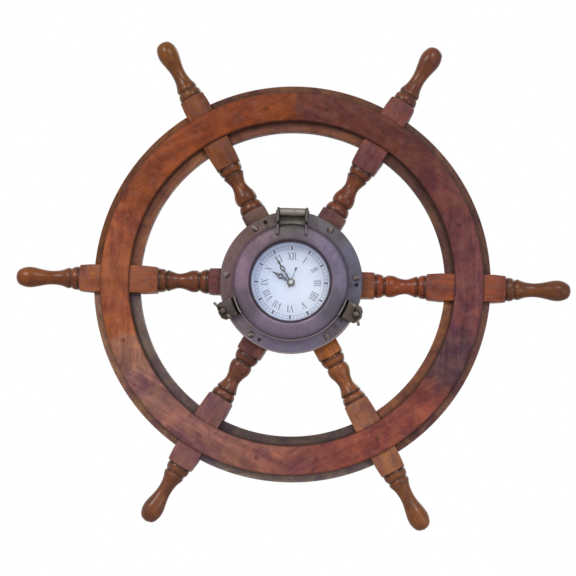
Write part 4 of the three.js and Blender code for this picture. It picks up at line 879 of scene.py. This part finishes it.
# Hinge pin: a plain steel rod through the cheeks and the knuckle, with a riveted head at each end
# and the same dark finish as the screws.
pin_half, head_half = 17.1, 18.3
pin_end = [(head_half, 0.0), (18.2, 1.2), (17.9, 2.1), (17.4, 2.6), (pin_half, 2.6), (pin_half, 1.6)]
pin = turned_across("pin", [(-x, radius) for x, radius in pin_end] + pin_end[::-1],
                    hinge_depth, hinge_height, 32)
dress(pin, screw_metal, "fastener_metal", "wheel", "hinge_pin")


# Wing screws: two cast thumb screws through the door's ears into the base lugs, which clamp the
# door shut. The cast wings are dark and worn bright at their tips.
wing_seat = 49.6
wing_side = [(1.6, 52.6), (3.6, 54.0), (5.6, 56.6), (7.6, 59.2), (10.0, 59.9), (12.2, 58.4),
             (13.0, 55.8), (11.8, 53.0), (8.6, 51.2), (4.6, 50.4)]
wing_line = smooth_run(wing_side + [(0.0, 50.2)] + [(-u, depth) for u, depth in wing_side[::-1]],
                       2, True)
wing_screw = turned("wing_screw", [
    (0, 36.3), (1.9, 36.3), (2.5, 36.9), (2.5, wing_seat), (4.7, wing_seat), (5.0, wing_seat + 0.3),
    (5.0, 51.6), (4.6, 52.0), (3.9, 52.6), (3.4, 54.0), (2.6, 55.2), (1.2, 55.8), (0, 56.0)], 40)
blade = cut_plate("blade", [(u, -depth, -1.5) for u, depth in wing_line], (0, 0, 3.0))
ease_edges(blade, 0.8)
combine(wing_screw, blade, "UNION")
wing_metal = cast_metal("wing_finish", (0.088, 0.072, 0.060), (0.042, 0.033, 0.028),
                        (0.42, 0.34, 0.28), 0.8)
for name, bearing, turn, body in (("wing_screw_right", right_lug, 104.0, "right_wing"),
                                  ("wing_screw_left", left_lug, 140.0, "left_wing")):
    one = copy_turned(wing_screw, f"cast_{name}", turn)
    move_round(one, lug_circle, bearing)
    dress(one, wing_metal, "fastener_metal", body, name)
bpy.data.objects.remove(wing_screw)


# Dial pan and dial: a pressed tin pan holds the insert in the pocket, and a white card dial is
# glued on it. The card glows with a faint blue painted light, is painted bluer towards its left as a
# painted sheen, and has caught a little dust.
dial_back, dial_front, dial_radius, dial_hole = 37.2, 37.6, 44.6, 4.2
pan = turned("pan_pressing", [
    (0, wheel_depth), (44.9, wheel_depth), (45.5, wheel_depth + 0.4), (45.5, wheel_depth + 0.9),
    (45.2, wheel_depth + 1.2), (4.2, wheel_depth + 1.2), (4.0, wheel_depth + 1.15),
    (0, wheel_depth + 1.15)])
dress(pan, zinc, "plated_steel", "wheel", "dial_pan")
card = turned_ring("dial_card", [
    (dial_hole, dial_back), (dial_radius, dial_back), (dial_radius, dial_front - 0.1),
    (dial_radius - 0.1, dial_front), (dial_hole + 0.1, dial_front), (dial_hole, dial_front - 0.1)])
paper, shader, at = start_material("dial_paper", {"Emission Strength": 1.0})
fibre = noise(at, 700, 4.0, 0.65)
age = noise(at, 26, 3.0, 0.5)
sheet = blend(between(age, 0.0, 1.0, 0.35, 0.7), (0.87, 0.93, 1.0, 1), (0.83, 0.91, 1.0, 1))
# Painted sheen: the card is painted bluer towards its left side.
side = add_node("SeparateXYZ", {0: at}).outputs["X"]
sheet = blend(between(side, 0.7, 0.0, -40 * mm, 12 * mm), sheet, (0.66, 0.77, 0.98, 1))
sheet = blend(between(fibre, 0.0, 0.25, 0.5, 0.75), sheet, (0.74, 0.80, 0.90, 1))
lay_on(shader, sheet, between(fibre, 0.5, 0.68), fibre, 0.01)
# Painted light: the card glows faintly blue, though it is no lamp.
feed(shader, {"Emission Color": blend(age, (0.024, 0.036, 0.125, 1), (0.03, 0.044, 0.14, 1))})
dress(card, paper, "dial_paper", "wheel", "dial")


# Printing on the dial: a minute track of two fine rings with a stroke for each minute, and upright
# roman numbers set round the dial, all in one pass of dark ink.
ink_back, ink_front, track_half = dial_front - 0.02, dial_front + 0.05, 0.11
track_outer, track_inner, number_foot, number_head = 40.0, 36.4, 25.0, 32.6
thick_half, thin_half, sign_spread, serif_half, serif_tall = 0.4, 0.17, 1.7, 0.95, 0.22
marks = []


def bar(foot, head, half, degrees):
    (x0, z0), (x1, z1) = foot, head
    line = [(x0 - half, z0), (x0 + half, z0), (x1 + half, z1), (x1 - half, z1)]
    marks.append(sawn("mark", line, ink_back, ink_front))
    turn_round(marks[-1], -degrees)


for radius in (track_outer, track_inner):
    inside, outside = radius - track_half, radius + track_half
    marks.append(turned_ring("mark", [(inside, ink_back), (outside, ink_back),
                                      (outside, ink_front), (inside, ink_front)]))
for minute in range(60):
    if minute % 5:
        bar((0, track_inner), (0, track_outer), 0.12, 6 * minute)
    else:
        bar((0, track_inner - 0.4), (0, track_outer + 0.1), 0.8, 6 * minute)
for hour, signs in enumerate("XII I II III IIII V VI VII VIII IX X XI".split()):
    widths = [2.3 if sign == "I" else 5.2 for sign in signs]
    left, turn = -sum(widths) / 2, 30 * hour
    for sign, width in zip(signs, widths):
        middle = left + width / 2
        spread = 0.0 if sign == "I" else sign_spread
        cross = spread if sign == "X" else 0.0
        bar((middle + cross, number_foot), (middle - spread, number_head), thick_half, turn)
        if sign != "I":
            bar((middle - cross, number_foot), (middle + spread, number_head), thin_half, turn)
        for x in sorted({middle - spread, middle + spread}):
            bar((x, number_head - serif_tall), (x, number_head), serif_half, turn)
            if sign != "V":
                bar((x, number_foot), (x, number_foot + serif_tall), serif_half, turn)
        left += width
clear_selection()
for mark in marks:
    mark.select_set(True)
bpy.context.view_layer.objects.active = marks[0]
bpy.ops.object.join()
printing = bpy.context.object
printing.name = printing.data.name = "dial_printing"
ink, shader, at = start_material("dial_ink", {})
thin = noise(at, 1200, 3.0, 0.6)
dark = blend(between(thin, 0.0, 1.0, 0.45, 0.75), (0.030, 0.033, 0.045, 1), (0.10, 0.11, 0.14, 1))
lay_on(shader, dark, between(thin, 0.45, 0.65))
dress(printing, ink, "hand_black", "wheel")


# Bush nut: the hexagonal brass nut that clamps the dial and pan on the movement's threaded bush,
# with its front corners chamfered round.
nut_half, nut_bore = 1.0, 3.3
clear_selection()
bpy.ops.mesh.primitive_cylinder_add(vertices=6, radius=5.0 * mm, depth=2 * nut_half * mm,
                                    location=(0, -(dial_front + nut_half) * mm, 0),
                                    rotation=(pi / 2, 0, 0))
nut = bpy.context.object
nut.name = nut.data.name = "hex_nut"
bpy.ops.object.transform_apply(location=True, rotation=True, scale=True)
combine(nut, turned("nut_round", [(0, 37.0), (5.2, 37.0), (5.2, 39.0), (4.3, 39.6), (0, 39.6)], 48),
        "INTERSECT")
combine(nut, turned("nut_bore", [(0, 37.0), (nut_bore, 37.0), (nut_bore, 40.0), (0, 40.0)], 40))
ease_edges(nut, 0.15, 2)
brass = worked_metal("brass_finish", [(0.30, 0.27, 0.21), (0.38, 0.35, 0.28), (0.20, 0.17, 0.12)],
                     (900, 60, 900), (0.3, 0.48))
dress(nut, brass, "brass", "wheel", "bush_nut")


# Hands: three thin steel hands cut out with scrolled, pierced ornament and lacquered nearly black.
# The hour and minute hands press on their tubes and the second hand on its pin, with bare centres.
hand_thick, cut_edge = 0.6, 0.06


def set_hand(body, outline, holes, low, boss, degrees):
    name, (boss_edge, boss_top) = f"{body}_hand_cut", boss
    clear_selection()
    curve = bpy.data.curves.new(name, "CURVE")
    curve.dimensions, curve.fill_mode = "2D", "BOTH"
    curve.extrude = (hand_thick / 2 - cut_edge) * mm
    curve.bevel_depth, curve.bevel_resolution = cut_edge * mm, 1
    right_side = smooth_run(outline, 5)
    rims = [right_side + [(-x, z) for x, z in reversed(right_side) if x > 0.01]]
    for x, z, half_wide, half_tall, pinch in holes:
        rims.append([(x + half_wide * cos(t) * (1 - pinch * sin(t)), z + half_tall * sin(t))
                     for t in (tau * k / 20 for k in range(20))])
    for rim in rims:
        line = curve.splines.new("POLY")
        line.points.add(len(rim) - 1)
        for point, (x, z) in zip(line.points, rim):
            point.co = (x * mm, z * mm, 0, 1)
        line.use_cyclic_u = True
    piece = bpy.data.objects.new(name, curve)
    scene.collection.objects.link(piece)
    take_up(piece)
    bpy.ops.object.convert(target="MESH")
    piece = bpy.context.object
    piece.data.transform(Matrix.Translation((0, -(low + hand_thick / 2) * mm, 0))
                         @ Matrix.Rotation(pi / 2, 4, "X"))
    bpy.ops.object.mode_set(mode="EDIT")
    close_up()
    combine(piece, turned(name + "_boss", [(0, low), (boss_edge[0], low), boss_edge, boss_top,
                                           (0, boss_top[1])], 40), "UNION")
    turn_round(piece, -degrees)
    dress(piece, lacquer, "hand_black", body, f"{body}_hand")


lacquer, shader, at = start_material("hand_lacquer", {"Coat Weight": 0.3, "Coat Roughness": 0.2})
fleck = noise(at, 800, 4.0, 0.6)
black = blend(between(fleck, 0.0, 1.0, 0.4, 0.8), (0.022, 0.020, 0.021, 1), (0.07, 0.066, 0.066, 1))
black = blend(between(from_axis(at), 1.0, 0.0, 2.3 * mm, 2.6 * mm), black, (0.62, 0.64, 0.72, 1))
lay_on(shader, black, between(fleck, 0.3, 0.5), fleck, 0.01)
set_hand("hour", [
    (1.0, 0.5), (1.0, 3.6), (0.75, 5.2), (1.9, 6.6), (1.3, 8.0), (0.7, 9.0), (1.3, 10.0), (3.0, 12.0),
    (3.2, 13.8), (2.2, 15.4), (0.9, 16.6), (1.5, 17.8), (0.95, 18.9), (0.8, 20.8), (0.5, 22.6),
    (0.0, 24.0)], [(0, 12.9, 1.8, 1.7, -0.25), (0, 6.8, 0.55, 0.8, 0.0)],
    40.6, ((3.4, 41.05), (3.0, 41.3)), 298.7)
set_hand("minute", [
    (0.9, 0.5), (0.85, 4.0), (0.65, 7.0), (1.6, 9.0), (1.0, 10.6), (0.6, 12.4), (1.2, 14.0),
    (2.3, 16.6), (2.1, 18.8), (1.0, 20.8), (0.55, 22.6), (1.15, 24.4), (0.5, 26.2), (0.4, 29.0),
    (0.0, 34.5)], [(0, 17.4, 1.25, 2.0, -0.2), (0, 9.2, 0.5, 0.9, 0.0)],
    42.2, ((2.8, 42.65), (2.4, 42.9)), 327.0)
set_hand("second", [
    (0.0, -6.5), (0.6, -6.2), (0.7, -5.2), (0.4, -4.0), (0.35, 0.0), (0.3, 8.0), (0.34, 13.2),
    (0.9, 14.3), (1.2, 15.5), (0.9, 16.6), (0.0, 17.5)], [],
    43.8, ((1.9, 44.2), (1.6, 44.4)), 19.5)


# Insert's grip and movement: a ribbed rubber ring holds the insert in the pocket, and behind the
# dial sit a moulded case, a train of moulded plastic wheels, a coil, a printed board and a cell.
def moulded(name, tints, rough, lift=0.03):
    made, shader, at = start_material(name, {})
    grit = noise(at, 900, 3.0, 0.6)
    cloud = noise(at, 120, 3.0, 0.5)
    colour = blend(between(cloud, 0.0, 1.0, 0.35, 0.65), (*tints[0], 1), (*tints[1], 1))
    lay_on(shader, colour, between(grit, *rough, 0.3, 0.7), grit, lift)
    return made


case_black = moulded("case_moulding", [(0.018, 0.018, 0.019), (0.030, 0.030, 0.031)], (0.45, 0.62))
wheel_white = moulded("wheel_moulding", [(0.70, 0.69, 0.66), (0.62, 0.61, 0.58)], (0.35, 0.5), 0.01)
laminate = moulded("board_laminate", [(0.02, 0.10, 0.045), (0.015, 0.075, 0.035)], (0.4, 0.55))
winding = worked_metal("coil_wire", [(0.55, 0.22, 0.10), (0.70, 0.32, 0.16), (0.30, 0.11, 0.05)],
                       (150, 4200, 4200), (0.25, 0.42), 0.06)
jacket, shader, at = start_material("cell_jacket", {})
low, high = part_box("battery")
length = between(add_node("SeparateXYZ", {0: at}).outputs["X"], 0.0, 1.0, low[0], high[0])
print_mark = noise(at, 400, 2.0)
cell = blend(reckon("GREATER_THAN", length, 0.72), (0.03, 0.09, 0.24, 1), (0.55, 0.56, 0.58, 1))
cell = blend(reckon("MULTIPLY", print_mark, 0.3), cell, (0.2, 0.2, 0.2, 1))
lay_on(shader, cell, between(print_mark, 0.25, 0.4))
for finish, nodes in (
        (rubber, ("insert_grip_ring",)),
        (case_black, ("movement_case", "movement_back", "setting_knob")),
        (wheel_white, ("train_bridge", "idler_wheel", "seconds_wheel", "third_wheel", "centre_wheel",
                       "cannon_pinion", "minute_wheel", "hour_wheel", "rotor")),
        (laminate, ("circuit_board",)), (winding, ("coil",)), (jacket, ("battery",)),
        (brass, ("contact_positive", "contact_negative")), (zinc, ("stator",))):
    for node in nodes:
        paint_node(node, finish)
